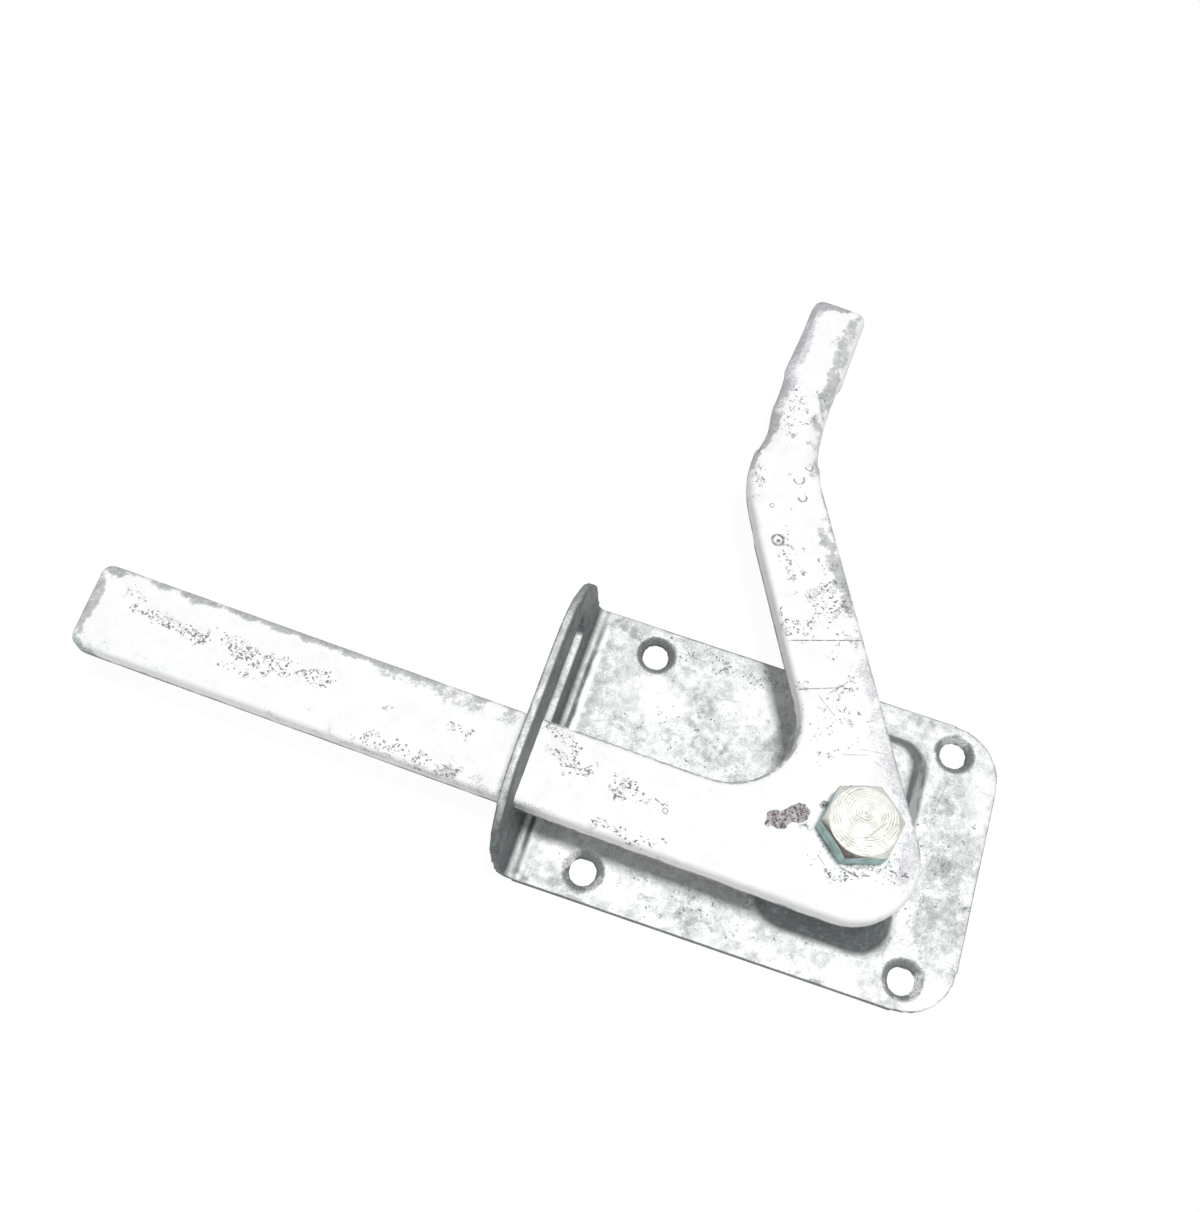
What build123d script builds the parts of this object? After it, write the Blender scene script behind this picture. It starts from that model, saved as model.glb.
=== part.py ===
"""Spring loaded gate latch: pressed base plate, one-piece L lever and hidden return spring.

All sizes are in millimetres.
The origin is the centre of the four screw holes on the plate's back face.
+Z points out of the plate's front, +X runs from the guide flange to the plate's rounded end,
and +Y points towards the handle.
"""
import os
from math import acos, cos, degrees, pi, radians, sin, tan

from build123d import *

# Pressed sheet
SHEET = 2.5
PLATE_WIDTH = 84.0
PLATE_RIGHT = 58.8
PLATE_CORNER_R = 15.0

# Guide flange bent up at the plate's -X end
FLANGE_INSIDE_X = -65.0
FLANGE_HEIGHT = 40.0
FLANGE_LEAN_DEG = 4.8
FLANGE_BEND_R = 2.5
FLANGE_UPPER_R = 30.0
FLANGE_LOWER_R = 24.0

# Slot in the flange that the latch bar rises and falls in
SLOT_PLAY_BELOW = 2.5
SLOT_PLAY_ABOVE = 1.5
SLOT_CORNER_R = 2.0
BAR_REST_GAP = 0.15
TRAVEL_DEG = 19.0
SLOT_END_GAP = 0.5

# Four countersunk screw holes
HOLE_SPACING_X = 90.0
HOLE_SPACING_Y = 67.0
HOLE_D = 7.0
COUNTERSINK_D = 11.4
COUNTERSINK_DEG = 90.0

# Raised boss under the pivot
PIVOT_X = 19.2
PIVOT_Y = -5.0
BOSS_CENTRE_Y = 0.5
BOSS_LENGTH_X = 38.5
BOSS_LENGTH_Y = 64.0
BOSS_HEIGHT = 14.0
BOSS_DRAFT_DEG = 27.0
BOSS_FOOT_CORNER_R = 9.0
BOSS_TOP_CORNER_R = 6.0
BOSS_FOOT_R = 2.5
BOSS_TOP_R = 3.0
BOSS_INSIDE_R = 0.8
BOSS_HOLE_PLAY = 0.2

# Lever, forged from one flat bar: a straight latch bar and a cranked handle
LEVER_THICKNESS = 8.5
LEVER_EDGE_R = 1.6
AXIAL_PLAY = 0.1
BAR_WIDTH = 24.3
BAR_OFFSET = -12.3
BAR_REACH = 211.5
BAR_TIP_R = 3.0
BAR_TIP_SKEW = 1.5
BAR_REST_DEG = 1.15
HANDLE_DEG = 119.5
HANDLE_WIDTH = 22.3
HANDLE_OFFSET = 4.5
HANDLE_STRAIGHT = 88.0
LEVER_OUTER_R = 18.0
LEVER_INNER_R = 19.5

# Grip at the top of the handle, drawn down from the flat
GRIP_DEG = 88.5
GRIP_WIDTH = 17.0
GRIP_EDGE_R = 3.6
GRIP_END_HEIGHT = 159.8
GRIP_END_R = 2.6
GRIP_SETBACK = -48.3
GRIP_LEVEL = 118.0
# Crank stations: setback, height, direction in degrees, width and edge radius
CRANK_STATIONS = (
    (-44.0, 87.6, 118.5, 21.8, 1.9),
    (-47.4, 96.8, 106.0, 20.9, 2.5),
    (-47.9, 107.0, 93.5, 18.0, 3.1),
)

# Pivot bolt and thin lock nut, size M12
BOLT_D = 12.0
BOLT_LENGTH = 25.0
HEAD_ACROSS_FLATS = 19.0
HEAD_HEIGHT = 7.5
HEAD_CHAMFER_DEG = 30.0
HEAD_TURN_DEG = 18.0
HEAD_TOP_SHARE = 0.95
BOLT_TIP_CHAMFER = 1.0
NUT_HEIGHT = 6.0
THREAD_PLAY = 0.02
LEVER_BORE_PLAY = 0.08

# Spring guide bush and plain washer inside the boss
BUSH_LENGTH = 6.2
BUSH_OUTER_D = 14.0
BUSH_PLAY = 0.1
WASHER_OUTER_D = 22.0
WASHER_THICKNESS = 1.6
WASHER_PLAY = 0.4

# Torsion spring around the bush, with one leg on the boss wall and one in the lever
WIRE_D = 2.0
COIL_PLAY = 0.3
COIL_END_GAP = 0.06
COIL_TURNS = 2
COIL_STEPS = 24
SPRING_LEG_RADIUS = 18.0
SPRING_LEG_DEG = 105.0
FIXED_LEG_DEG = 165.0
FIXED_LEG_LENGTH = 12.5
LEG_BEND_R = 1.6
LEG_POCKET_DEPTH = 4.0
LEG_POCKET_GAP = 0.6
LEG_PLAY = 0.5

# Levels above the back face
BOSS_TOP_Z = SHEET + BOSS_HEIGHT
BOSS_CEILING_Z = BOSS_TOP_Z - SHEET
LEVER_BOTTOM_Z = BOSS_TOP_Z + AXIAL_PLAY
LEVER_TOP_Z = LEVER_BOTTOM_Z + LEVER_THICKNESS
HEAD_SEAT_Z = LEVER_TOP_Z + AXIAL_PLAY
WASHER_TOP_Z = BOSS_CEILING_Z - BUSH_LENGTH
NUT_TOP_Z = WASHER_TOP_Z - WASHER_THICKNESS

COIL_R = BUSH_OUTER_D / 2 + COIL_PLAY + WIRE_D / 2
DRAFT_RUN = tan(radians(BOSS_DRAFT_DEG))
DRAFT_WALL = SHEET / cos(radians(BOSS_DRAFT_DEG))
LEG_HOLE_D = WIRE_D + 2 * LEG_PLAY


def at_pivot(level=0.0):
    """Return the place on the pivot axis at a level."""
    return Pos(PIVOT_X, PIVOT_Y, level)


def ring(outer_d, inner_d, top, height):
    """Return a plain ring about the pivot axis that hangs down from a level."""
    body = Cylinder(outer_d / 2, height) - Cylinder(inner_d / 2, 2 * height)
    return at_pivot(top - height / 2) * body


def hexagon(across_flats, height):
    """Return a hexagonal prism, standing on XY, with its top corners turned off."""
    prism = extrude(RegularPolygon(across_flats / 2, 6, major_radius=False), height)
    top_r = across_flats / 2 * HEAD_TOP_SHARE
    slope = tan(radians(HEAD_CHAMFER_DEG))
    low_r = top_r + height / slope
    cone = Pos(0, 0, height / 2) * Cone(low_r, top_r, height)
    return prism & cone


def polar(radius, angle_deg, level=0.0):
    """Return a point at a radius and angle about the pivot axis."""
    angle = radians(angle_deg)
    return Vector(PIVOT_X + radius * cos(angle), PIVOT_Y + radius * sin(angle), level)


def flange_inner_x(level):
    """Return where the leaning flange's inner face is at a level."""
    return FLANGE_INSIDE_X - (level - SHEET) * tan(radians(FLANGE_LEAN_DEG))


def flange_outer_x(level):
    """Return where the leaning flange's outer face is at a level."""
    return flange_inner_x(level) - SHEET / cos(radians(FLANGE_LEAN_DEG))


def bar_edge_y(x, edge_offset, turn_deg):
    """Return the height in Y of one long edge of the latch bar at x, with the lever turned."""
    turn = radians(turn_deg)
    along = (PIVOT_X - x - edge_offset * sin(turn)) / cos(turn)
    return PIVOT_Y + along * sin(turn) + edge_offset * cos(turn)


def bent_sheet():
    """Return the plate and its guide flange, bent from one sheet, with rounded corners."""
    lean = radians(FLANGE_LEAN_DEG)
    foot_x = flange_outer_x(0)
    top_x = flange_inner_x(FLANGE_HEIGHT)
    corners = [
        (PLATE_RIGHT, 0),
        (foot_x, 0),
        (top_x - SHEET * cos(lean), FLANGE_HEIGHT - SHEET * sin(lean)),
        (top_x, FLANGE_HEIGHT),
        (FLANGE_INSIDE_X, SHEET),
        (PLATE_RIGHT, SHEET),
    ]
    profile = make_face(Polyline(*corners, close=True))
    low = profile.vertices().group_by(Axis.Y)[0].sort_by(Axis.X)[0]
    profile = fillet(low, FLANGE_BEND_R + SHEET)
    inside = profile.vertices().sort_by_distance((FLANGE_INSIDE_X, SHEET))[0]
    profile = fillet(inside, FLANGE_BEND_R)
    sheet = extrude(Plane.XZ * profile, PLATE_WIDTH / 2, both=True)
    end_edges = sheet.edges().filter_by(Axis.Z).group_by(Axis.X)[-1]
    sheet = fillet(end_edges, PLATE_CORNER_R)
    for side, radius in ((1, FLANGE_UPPER_R), (-1, FLANGE_LOWER_R)):
        corner = (top_x - SHEET * cos(lean) / 2, side * PLATE_WIDTH / 2, FLANGE_HEIGHT)
        end = sheet.edges().filter_by(lambda e: e.length < 1.1 * SHEET).sort_by_distance(corner)[0]
        sheet = fillet(end, radius)
    return sheet


def boss_block(length_x, length_y, foot_r, top_r, bottom, top, overhang):
    """Return a drafted block between two levels; overhang is its growth per side at the bottom."""
    run = (top - SHEET) * DRAFT_RUN
    place = Pos(PIVOT_X, BOSS_CENTRE_Y, 0)
    low = Plane.XY.offset(bottom) * RectangleRounded(
        length_x + 2 * overhang, length_y + 2 * overhang, foot_r)
    high = Plane.XY.offset(top) * RectangleRounded(
        length_x - 2 * run, length_y - 2 * run, top_r)
    return place * loft([low, high], ruled=True)


def make_base_plate():
    """Return the pressed plate with its slotted flange, boss and screw holes."""
    plate = bent_sheet()

    outer = boss_block(BOSS_LENGTH_X, BOSS_LENGTH_Y, BOSS_FOOT_CORNER_R, BOSS_TOP_CORNER_R,
                       SHEET, BOSS_TOP_Z, 0.0)
    plate = plate + outer
    foot = plate.edges().filter_by(lambda e: abs(e.center().Z - SHEET) < 0.01
                                   and abs(e.center().X - PIVOT_X) < BOSS_LENGTH_X * 0.55
                                   and abs(e.center().Y - BOSS_CENTRE_Y) < BOSS_LENGTH_Y * 0.55)
    plate = fillet(foot, BOSS_FOOT_R)
    crown = plate.edges().filter_by(lambda e: abs(e.center().Z - BOSS_TOP_Z) < 0.01)
    crown = crown.filter_by(lambda e: abs(e.center().X - PIVOT_X) < BOSS_LENGTH_X / 2)
    plate = fillet(crown, BOSS_TOP_R)

    inner_x = BOSS_LENGTH_X - 2 * DRAFT_WALL
    inner_y = BOSS_LENGTH_Y - 2 * DRAFT_WALL
    hollow = boss_block(inner_x, inner_y, BOSS_FOOT_CORNER_R - DRAFT_WALL / 2,
                        BOSS_TOP_CORNER_R - DRAFT_WALL, 0, BOSS_CEILING_Z, SHEET * DRAFT_RUN)
    ceiling = hollow.edges().filter_by(lambda e: abs(e.center().Z - BOSS_CEILING_Z) < 0.01)
    hollow = fillet(ceiling, BOSS_INSIDE_R)
    plate = plate - hollow
    mouth = plate.edges().filter_by(lambda e: abs(e.center().Z) < 0.01
                                    and abs(e.center().X - PIVOT_X) < BOSS_LENGTH_X * 0.55
                                    and abs(e.center().Y - BOSS_CENTRE_Y) < BOSS_LENGTH_Y * 0.55)
    plate = fillet(mouth, BOSS_FOOT_R)

    plate = plate - at_pivot(BOSS_TOP_Z) * Cylinder(BOLT_D / 2 + BOSS_HOLE_PLAY, 4 * SHEET)
    plate = plate - spring_leg_slot()
    plate = plate - flange_slot()
    return plate - screw_holes()


def spring_leg_slot():
    """Return the arc-shaped cut in the boss top that the moving spring leg sweeps through."""
    clear = degrees(LEG_PLAY / SPRING_LEG_RADIUS)
    start = SPRING_LEG_DEG - TRAVEL_DEG - clear
    end = SPRING_LEG_DEG + clear
    path = CenterArc((PIVOT_X, PIVOT_Y), SPRING_LEG_RADIUS, start, end - start)
    outline = SlotArc(path, LEG_HOLE_D)
    return Pos(0, 0, BOSS_CEILING_Z - SHEET) * extrude(outline, 3 * SHEET)


def flange_slot():
    """Return the long window in the flange that the latch bar passes through."""
    low_z = LEVER_BOTTOM_Z - SLOT_PLAY_BELOW
    high_z = LEVER_TOP_Z + SLOT_PLAY_ABOVE
    lower_edge = BAR_OFFSET - BAR_WIDTH / 2
    upper_edge = BAR_OFFSET + BAR_WIDTH / 2
    rest_y = bar_edge_y(flange_inner_x(LEVER_TOP_Z), lower_edge, BAR_REST_DEG) - BAR_REST_GAP
    open_deg = BAR_REST_DEG + TRAVEL_DEG
    open_y = bar_edge_y(flange_outer_x(LEVER_TOP_Z), upper_edge, open_deg) + SLOT_END_GAP
    window = Box(6 * SHEET, open_y - rest_y, high_z - low_z)
    window = fillet(window.edges().filter_by(Axis.X), SLOT_CORNER_R)
    middle_z = (low_z + high_z) / 2
    middle_x = (flange_inner_x(middle_z) + flange_outer_x(middle_z)) / 2
    return Pos(middle_x, (open_y + rest_y) / 2, middle_z) * window


def screw_holes():
    """Return the four countersunk screw holes as one cutting body."""
    depth = (COUNTERSINK_D - HOLE_D) / 2 / tan(radians(COUNTERSINK_DEG / 2))
    drill = Pos(0, 0, SHEET / 2) * Cylinder(HOLE_D / 2, 2 * SHEET)
    sink = Pos(0, 0, SHEET - depth / 2) * Cone(HOLE_D / 2, COUNTERSINK_D / 2, depth)
    cutter = drill + sink
    return [place * cutter for place in GridLocations(HOLE_SPACING_X, HOLE_SPACING_Y, 2, 2)]


def grip_section(centre_x, centre_y, direction_deg, width, edge_r):
    """Return a rounded section of the handle, square to its direction, in the lever's frame."""
    angle = radians(direction_deg)
    plane = Plane(origin=(centre_x, centre_y, LEVER_THICKNESS / 2),
                  x_dir=(sin(angle), -cos(angle), 0), z_dir=(cos(angle), sin(angle), 0))
    return plane * RectangleRounded(width, LEVER_THICKNESS, edge_r)


def make_latch_lever():
    """Return the lever: latch bar, pivot end and cranked handle in one forging."""
    handle = radians(HANDLE_DEG)
    along = Vector(cos(handle), sin(handle))
    right = Vector(sin(handle), -cos(handle))
    right_edge = HANDLE_OFFSET + HANDLE_WIDTH / 2
    left_edge = HANDLE_OFFSET - HANDLE_WIDTH / 2
    bar_low = BAR_OFFSET - BAR_WIDTH / 2
    bar_high = BAR_OFFSET + BAR_WIDTH / 2

    def edge_point(side, level):
        """Return where a handle edge reaches a level in Y."""
        base = right * side
        return base + along * ((level - base.Y) / along.Y)

    corner_out = edge_point(right_edge, bar_low)
    corner_in = edge_point(left_edge, bar_high)
    top_right = right * right_edge + along * HANDLE_STRAIGHT
    top_left = right * left_edge + along * HANDLE_STRAIGHT
    tip_low = (-BAR_REACH, bar_low)
    tip_high = (-BAR_REACH - BAR_TIP_SKEW, bar_high)
    outline = Polyline(tip_low, (corner_out.X, corner_out.Y), (top_right.X, top_right.Y),
                       (top_left.X, top_left.Y), (corner_in.X, corner_in.Y), tip_high, close=True)
    face = make_face(outline)
    for point, radius in ((corner_out, LEVER_OUTER_R), (corner_in, LEVER_INNER_R),
                          (tip_low, BAR_TIP_R), (tip_high, BAR_TIP_R)):
        face = fillet(face.vertices().sort_by_distance(point)[0], radius)
    blank = extrude(face, LEVER_THICKNESS)
    cut_centre = (top_right + top_left) * 0.5
    rims = [e for e in blank.edges()
            if min(abs(e.center().Z), abs(e.center().Z - LEVER_THICKNESS)) < 0.01
            and (e.center() - cut_centre).dot(Vector(along.X, along.Y)) < -0.1]
    blank = fillet(rims, LEVER_EDGE_R)

    grip_start = grip_section(GRIP_SETBACK, GRIP_LEVEL, GRIP_DEG, GRIP_WIDTH, GRIP_EDGE_R)
    crank = loft([
        grip_section(cut_centre.X, cut_centre.Y, HANDLE_DEG, HANDLE_WIDTH, LEVER_EDGE_R),
        *[grip_section(*station) for station in CRANK_STATIONS],
        grip_start,
    ])
    grip = extrude(grip_start, (GRIP_END_HEIGHT - GRIP_LEVEL) / sin(radians(GRIP_DEG)))
    end_rim = grip.faces().sort_by(Axis.Y)[-1].edges()
    grip = fillet(end_rim, GRIP_END_R)
    lever = blank + crank + grip

    lever = lever - Cylinder(BOLT_D / 2 + LEVER_BORE_PLAY, 4 * LEVER_THICKNESS)
    leg = Pos(0, 0, LEG_POCKET_DEPTH / 2) * Cylinder(LEG_HOLE_D / 2, LEG_POCKET_DEPTH)
    leg_angle = radians(SPRING_LEG_DEG + BAR_REST_DEG)
    leg_place = Pos(SPRING_LEG_RADIUS * cos(leg_angle), SPRING_LEG_RADIUS * sin(leg_angle), 0)
    lever = lever - leg_place * leg
    return at_pivot(LEVER_BOTTOM_Z) * Rot(0, 0, -BAR_REST_DEG) * lever


def make_pivot_bolt():
    """Return the hexagon head bolt that the lever turns on."""
    head = Pos(0, 0, HEAD_SEAT_Z) * hexagon(HEAD_ACROSS_FLATS, HEAD_HEIGHT)
    shank = Pos(0, 0, HEAD_SEAT_Z - BOLT_LENGTH / 2) * Cylinder(BOLT_D / 2, BOLT_LENGTH)
    shank = chamfer(shank.edges().sort_by(Axis.Z)[0], BOLT_TIP_CHAMFER)
    return Pos(PIVOT_X, PIVOT_Y, 0) * Rot(0, 0, HEAD_TURN_DEG) * (head + shank)


def make_lock_nut():
    """Return the thin lock nut inside the boss."""
    nut = hexagon(HEAD_ACROSS_FLATS, NUT_HEIGHT)
    nut = nut - Cylinder(BOLT_D / 2 + THREAD_PLAY, 4 * NUT_HEIGHT)
    return at_pivot(NUT_TOP_Z) * Rot(180, 0, 0) * nut


def make_torsion_spring():
    """Return the spring: a coil about the pivot, a fixed leg and a leg bent up into the lever."""
    low_z = WASHER_TOP_Z + COIL_END_GAP + WIRE_D / 2
    rise = BUSH_LENGTH - 2 * COIL_END_GAP - WIRE_D
    leg_reach = (SPRING_LEG_RADIUS**2 - COIL_R**2) ** 0.5
    leave_deg = SPRING_LEG_DEG + degrees(acos(COIL_R / SPRING_LEG_RADIUS))
    sweep_deg = FIXED_LEG_DEG - leave_deg + 360 * COIL_TURNS
    steps = COIL_TURNS * COIL_STEPS
    points = []
    for step in range(steps + 1):
        share = step / steps
        level = share - sin(2 * pi * COIL_TURNS * share) / (2 * pi * COIL_TURNS)
        points.append(polar(COIL_R, FIXED_LEG_DEG - sweep_deg * share, low_z + rise * level))
    coil = Spline(*points)
    first = coil % 0
    last = coil % 1
    corner = points[-1] + last * leg_reach
    tip = Vector(corner.X, corner.Y, LEVER_BOTTOM_Z + LEG_POCKET_DEPTH - LEG_POCKET_GAP)
    legs = FilletPolyline(points[-1], corner, tip, radius=LEG_BEND_R)
    fixed = Line(points[0] - first * FIXED_LEG_LENGTH, points[0])
    path = Wire([*fixed.edges(), *coil.edges(), *legs.edges()])
    section = Plane(origin=path @ 0, z_dir=path % 0) * Circle(WIRE_D / 2)
    return sweep(section, path)


def main():
    """Build every piece and write one STEP file for each."""
    os.makedirs("parts", exist_ok=True)
    pieces = {
        "base_plate": make_base_plate(),
        "latch_lever": make_latch_lever(),
        "pivot_bolt": make_pivot_bolt(),
        "spring_bush": ring(BUSH_OUTER_D, BOLT_D + 2 * BUSH_PLAY, BOSS_CEILING_Z, BUSH_LENGTH),
        "torsion_spring": make_torsion_spring(),
        "plain_washer": ring(WASHER_OUTER_D, BOLT_D + 2 * WASHER_PLAY, WASHER_TOP_Z,
                             WASHER_THICKNESS),
        "lock_nut": make_lock_nut(),
    }
    for name, piece in pieces.items():
        export_step(piece, f"parts/{name}.step")


main()
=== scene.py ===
"""Spring loaded gate latch: hot-dip galvanised plate and lever, hexagon bolt, hidden spring.

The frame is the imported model's: metres, +Z out of the plate's front face,
+X from the guide flange to the plate's rounded end and +Y towards the handle.
"""

import logging
import math
from dataclasses import dataclass
from enum import Enum
from functools import reduce
from typing import Callable

import bmesh
import bpy
import numpy as np
from mathutils import Matrix, Vector, noise


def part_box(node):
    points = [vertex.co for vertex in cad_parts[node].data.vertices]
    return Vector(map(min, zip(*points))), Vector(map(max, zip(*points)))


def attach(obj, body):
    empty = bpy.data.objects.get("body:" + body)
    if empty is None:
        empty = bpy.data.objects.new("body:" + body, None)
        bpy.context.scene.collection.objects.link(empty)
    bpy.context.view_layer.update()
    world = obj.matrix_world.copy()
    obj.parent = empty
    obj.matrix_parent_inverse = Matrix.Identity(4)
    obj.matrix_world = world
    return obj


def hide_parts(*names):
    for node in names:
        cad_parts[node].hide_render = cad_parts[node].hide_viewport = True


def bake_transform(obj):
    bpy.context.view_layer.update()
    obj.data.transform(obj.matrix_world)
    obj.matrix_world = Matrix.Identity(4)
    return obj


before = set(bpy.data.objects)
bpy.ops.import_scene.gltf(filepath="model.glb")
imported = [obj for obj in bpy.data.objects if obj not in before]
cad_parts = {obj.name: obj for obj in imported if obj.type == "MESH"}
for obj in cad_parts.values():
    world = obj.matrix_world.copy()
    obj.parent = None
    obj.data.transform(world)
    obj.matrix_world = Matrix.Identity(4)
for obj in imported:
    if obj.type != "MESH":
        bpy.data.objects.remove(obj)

LOG = logging.getLogger("gate_latch")
MM = 0.001

PIVOT_X = 19.2 * MM
PIVOT_Y = -5.0 * MM
LEVER_TOP_Z = 25.1 * MM
# Two places in a CAD mesh that are closer than this are one
JOIN = 1e-6

Colour = tuple[float, float, float]
# Clean zinc, also used for painted highlights
CLEAN_ZINC_AND_HIGHLIGHT: Colour = (0.93, 0.94, 0.94)
# Lilac tint, also used as painted shade on the grip's rounded edges
LILAC_TINT_AND_SHADE: Colour = (0.56, 0.55, 0.60)
CYAN_TINT: Colour = (0.47, 0.66, 0.68)
PIT_SHADE: Colour = (0.20, 0.195, 0.20)
SCRATCH_SHADE: Colour = (0.25, 0.24, 0.25)
CRUST_HOLLOW: Colour = (0.12, 0.095, 0.095)
CRUST_CREST: Colour = (0.66, 0.62, 0.63)
# Painted shade on the bolt head's chamfers on one side
CHAMFER_SHADE: Colour = (0.08, 0.045, 0.04)

# Direction that the rounded edges with a painted grey reflection face
FAR_WAY = (-0.2, 0.98)
# Direction that the bolt head's chamfers with painted shade face
SHADED_CHAMFER_WAY = (-0.45, -0.89)
# A level above the whole latch, in millimetres, for marks with no upper limit
NO_LIMIT = 60.0
# Normals with a Z below this face down
UNDERSIDE = -0.3


class Body(Enum):
    """The moving bodies of the latch."""

    BASE = "base"
    LEVER = "lever"


class Slot(Enum):
    """The names of the pieces' material slots."""

    SHEET = "galvanised_sheet"
    FORGING = "galvanised_forging"
    BOLT = "zinc_plated_bolt"
    BUSH = "plain_steel"
    SPRING = "spring_wire"
    WASHER = "zinc_plated_washer"
    NUT = "zinc_plated_nut"


class Mark(Enum):
    """The per-vertex marks that a zinc skin carries into its material."""

    PITS = "pits"
    # Grey stains, and in places painted shade and a painted grey reflection
    GREY = "grey"
    DROSS = "dross"
    # A lilac tint, which on the grip's rounded edges is painted shade
    LILAC = "lilac"
    CYAN = "cyan"
    # Clean zinc, and in places a painted highlight
    BRIGHT = "bright"
    # Painted shade on steep walls and in the plate's fold
    WALL_SHADE = "steep"


@dataclass(frozen=True)
class Patch:
    """One soft-edged area of a mark, an ellipse lying on the metal.

    Attributes:
        mark: The mark it makes.
        x: Centre in millimetres.
        y: Centre in millimetres.
        long: Half length in millimetres.
        short: Half width in millimetres.
        turn: Direction of its length, in degrees from +X.
        strength: Its greatest strength.
        low_z: It marks only metal above this level, in millimetres.
        high_z: It marks only metal below this level, in millimetres.
        ragged: How much noise tears its edge, from 0 to 1.
    """

    mark: Mark
    x: float
    y: float
    long: float
    short: float
    turn: float = 0.0
    strength: float = 1.0
    low_z: float = -1.0
    high_z: float = NO_LIMIT
    ragged: float = 0.5

    def cover(self, points: np.ndarray, rough: np.ndarray) -> np.ndarray:
        """Work out how strongly the patch marks each point.

        Args:
            points: Vertex places in metres, one row each.
            rough: A noise value from -1 to 1 for each point.

        Returns:
            The strength at each point.
        """
        angle = math.radians(self.turn)
        dx = points[:, 0] / MM - self.x
        dy = points[:, 1] / MM - self.y
        u = (dx * math.cos(angle) + dy * math.sin(angle)) / self.long
        v = (dy * math.cos(angle) - dx * math.sin(angle)) / self.short
        reach = 1.0 - np.sqrt(u * u + v * v) + self.ragged * rough
        soft_share = 0.55
        held = np.clip(reach / soft_share, 0.0, 1.0)
        level = points[:, 2] / MM
        inside = (level > self.low_z) & (level < self.high_z)
        return self.strength * held * held * (3 - 2 * held) * inside


@dataclass(frozen=True)
class Stroke:
    """One scratch, or one ring or arc, on an upper face.

    Attributes:
        x: Centre in millimetres.
        y: Centre in millimetres.
        length: Length of a scratch, or how far an arc reaches back past its centre.
        width: Half width of the line.
        turn: Direction in degrees from +X.
        strength: How dark it is.
        radius: Radius of a ring, or 0 for a straight scratch.
        low_z: It shows only above this level.
    """

    x: float
    y: float
    length: float
    width: float = 0.18
    turn: float = 0.0
    strength: float = 0.7
    radius: float = 0.0
    low_z: float = 24.4


def patch_group(mark: Mark, low_z: float, high_z: float,
                *rows: tuple[float, ...]) -> list[Patch]:
    """Make the patches of one mark between two levels.

    Args:
        mark: The mark that they make.
        low_z: They mark only metal above this level, in millimetres.
        high_z: They mark only metal below this level, in millimetres.
        *rows: Centre x and y, half length, half width, turn, strength and raggedness of each.

    Returns:
        The patches.
    """
    return [Patch(mark, *row[:6], low_z, high_z, row[6]) for row in rows]


def octaves(points: np.ndarray, size_mm: float, depth: int, shift: float) -> np.ndarray:
    """Fractal noise at each point, about -1 to 1.

    Args:
        points: Places in metres, one row each.
        size_mm: Size of the largest lumps in millimetres.
        depth: How many finer layers are added.
        shift: An offset that gives each use its own pattern.

    Returns:
        One value for each point.
    """
    scale = 1.0 / (size_mm * MM)
    return np.array([
        noise.fractal(Vector((x * scale + shift, y * scale - shift, z * scale)), 0.6, 2.1, depth)
        for x, y, z in points
    ])


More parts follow.
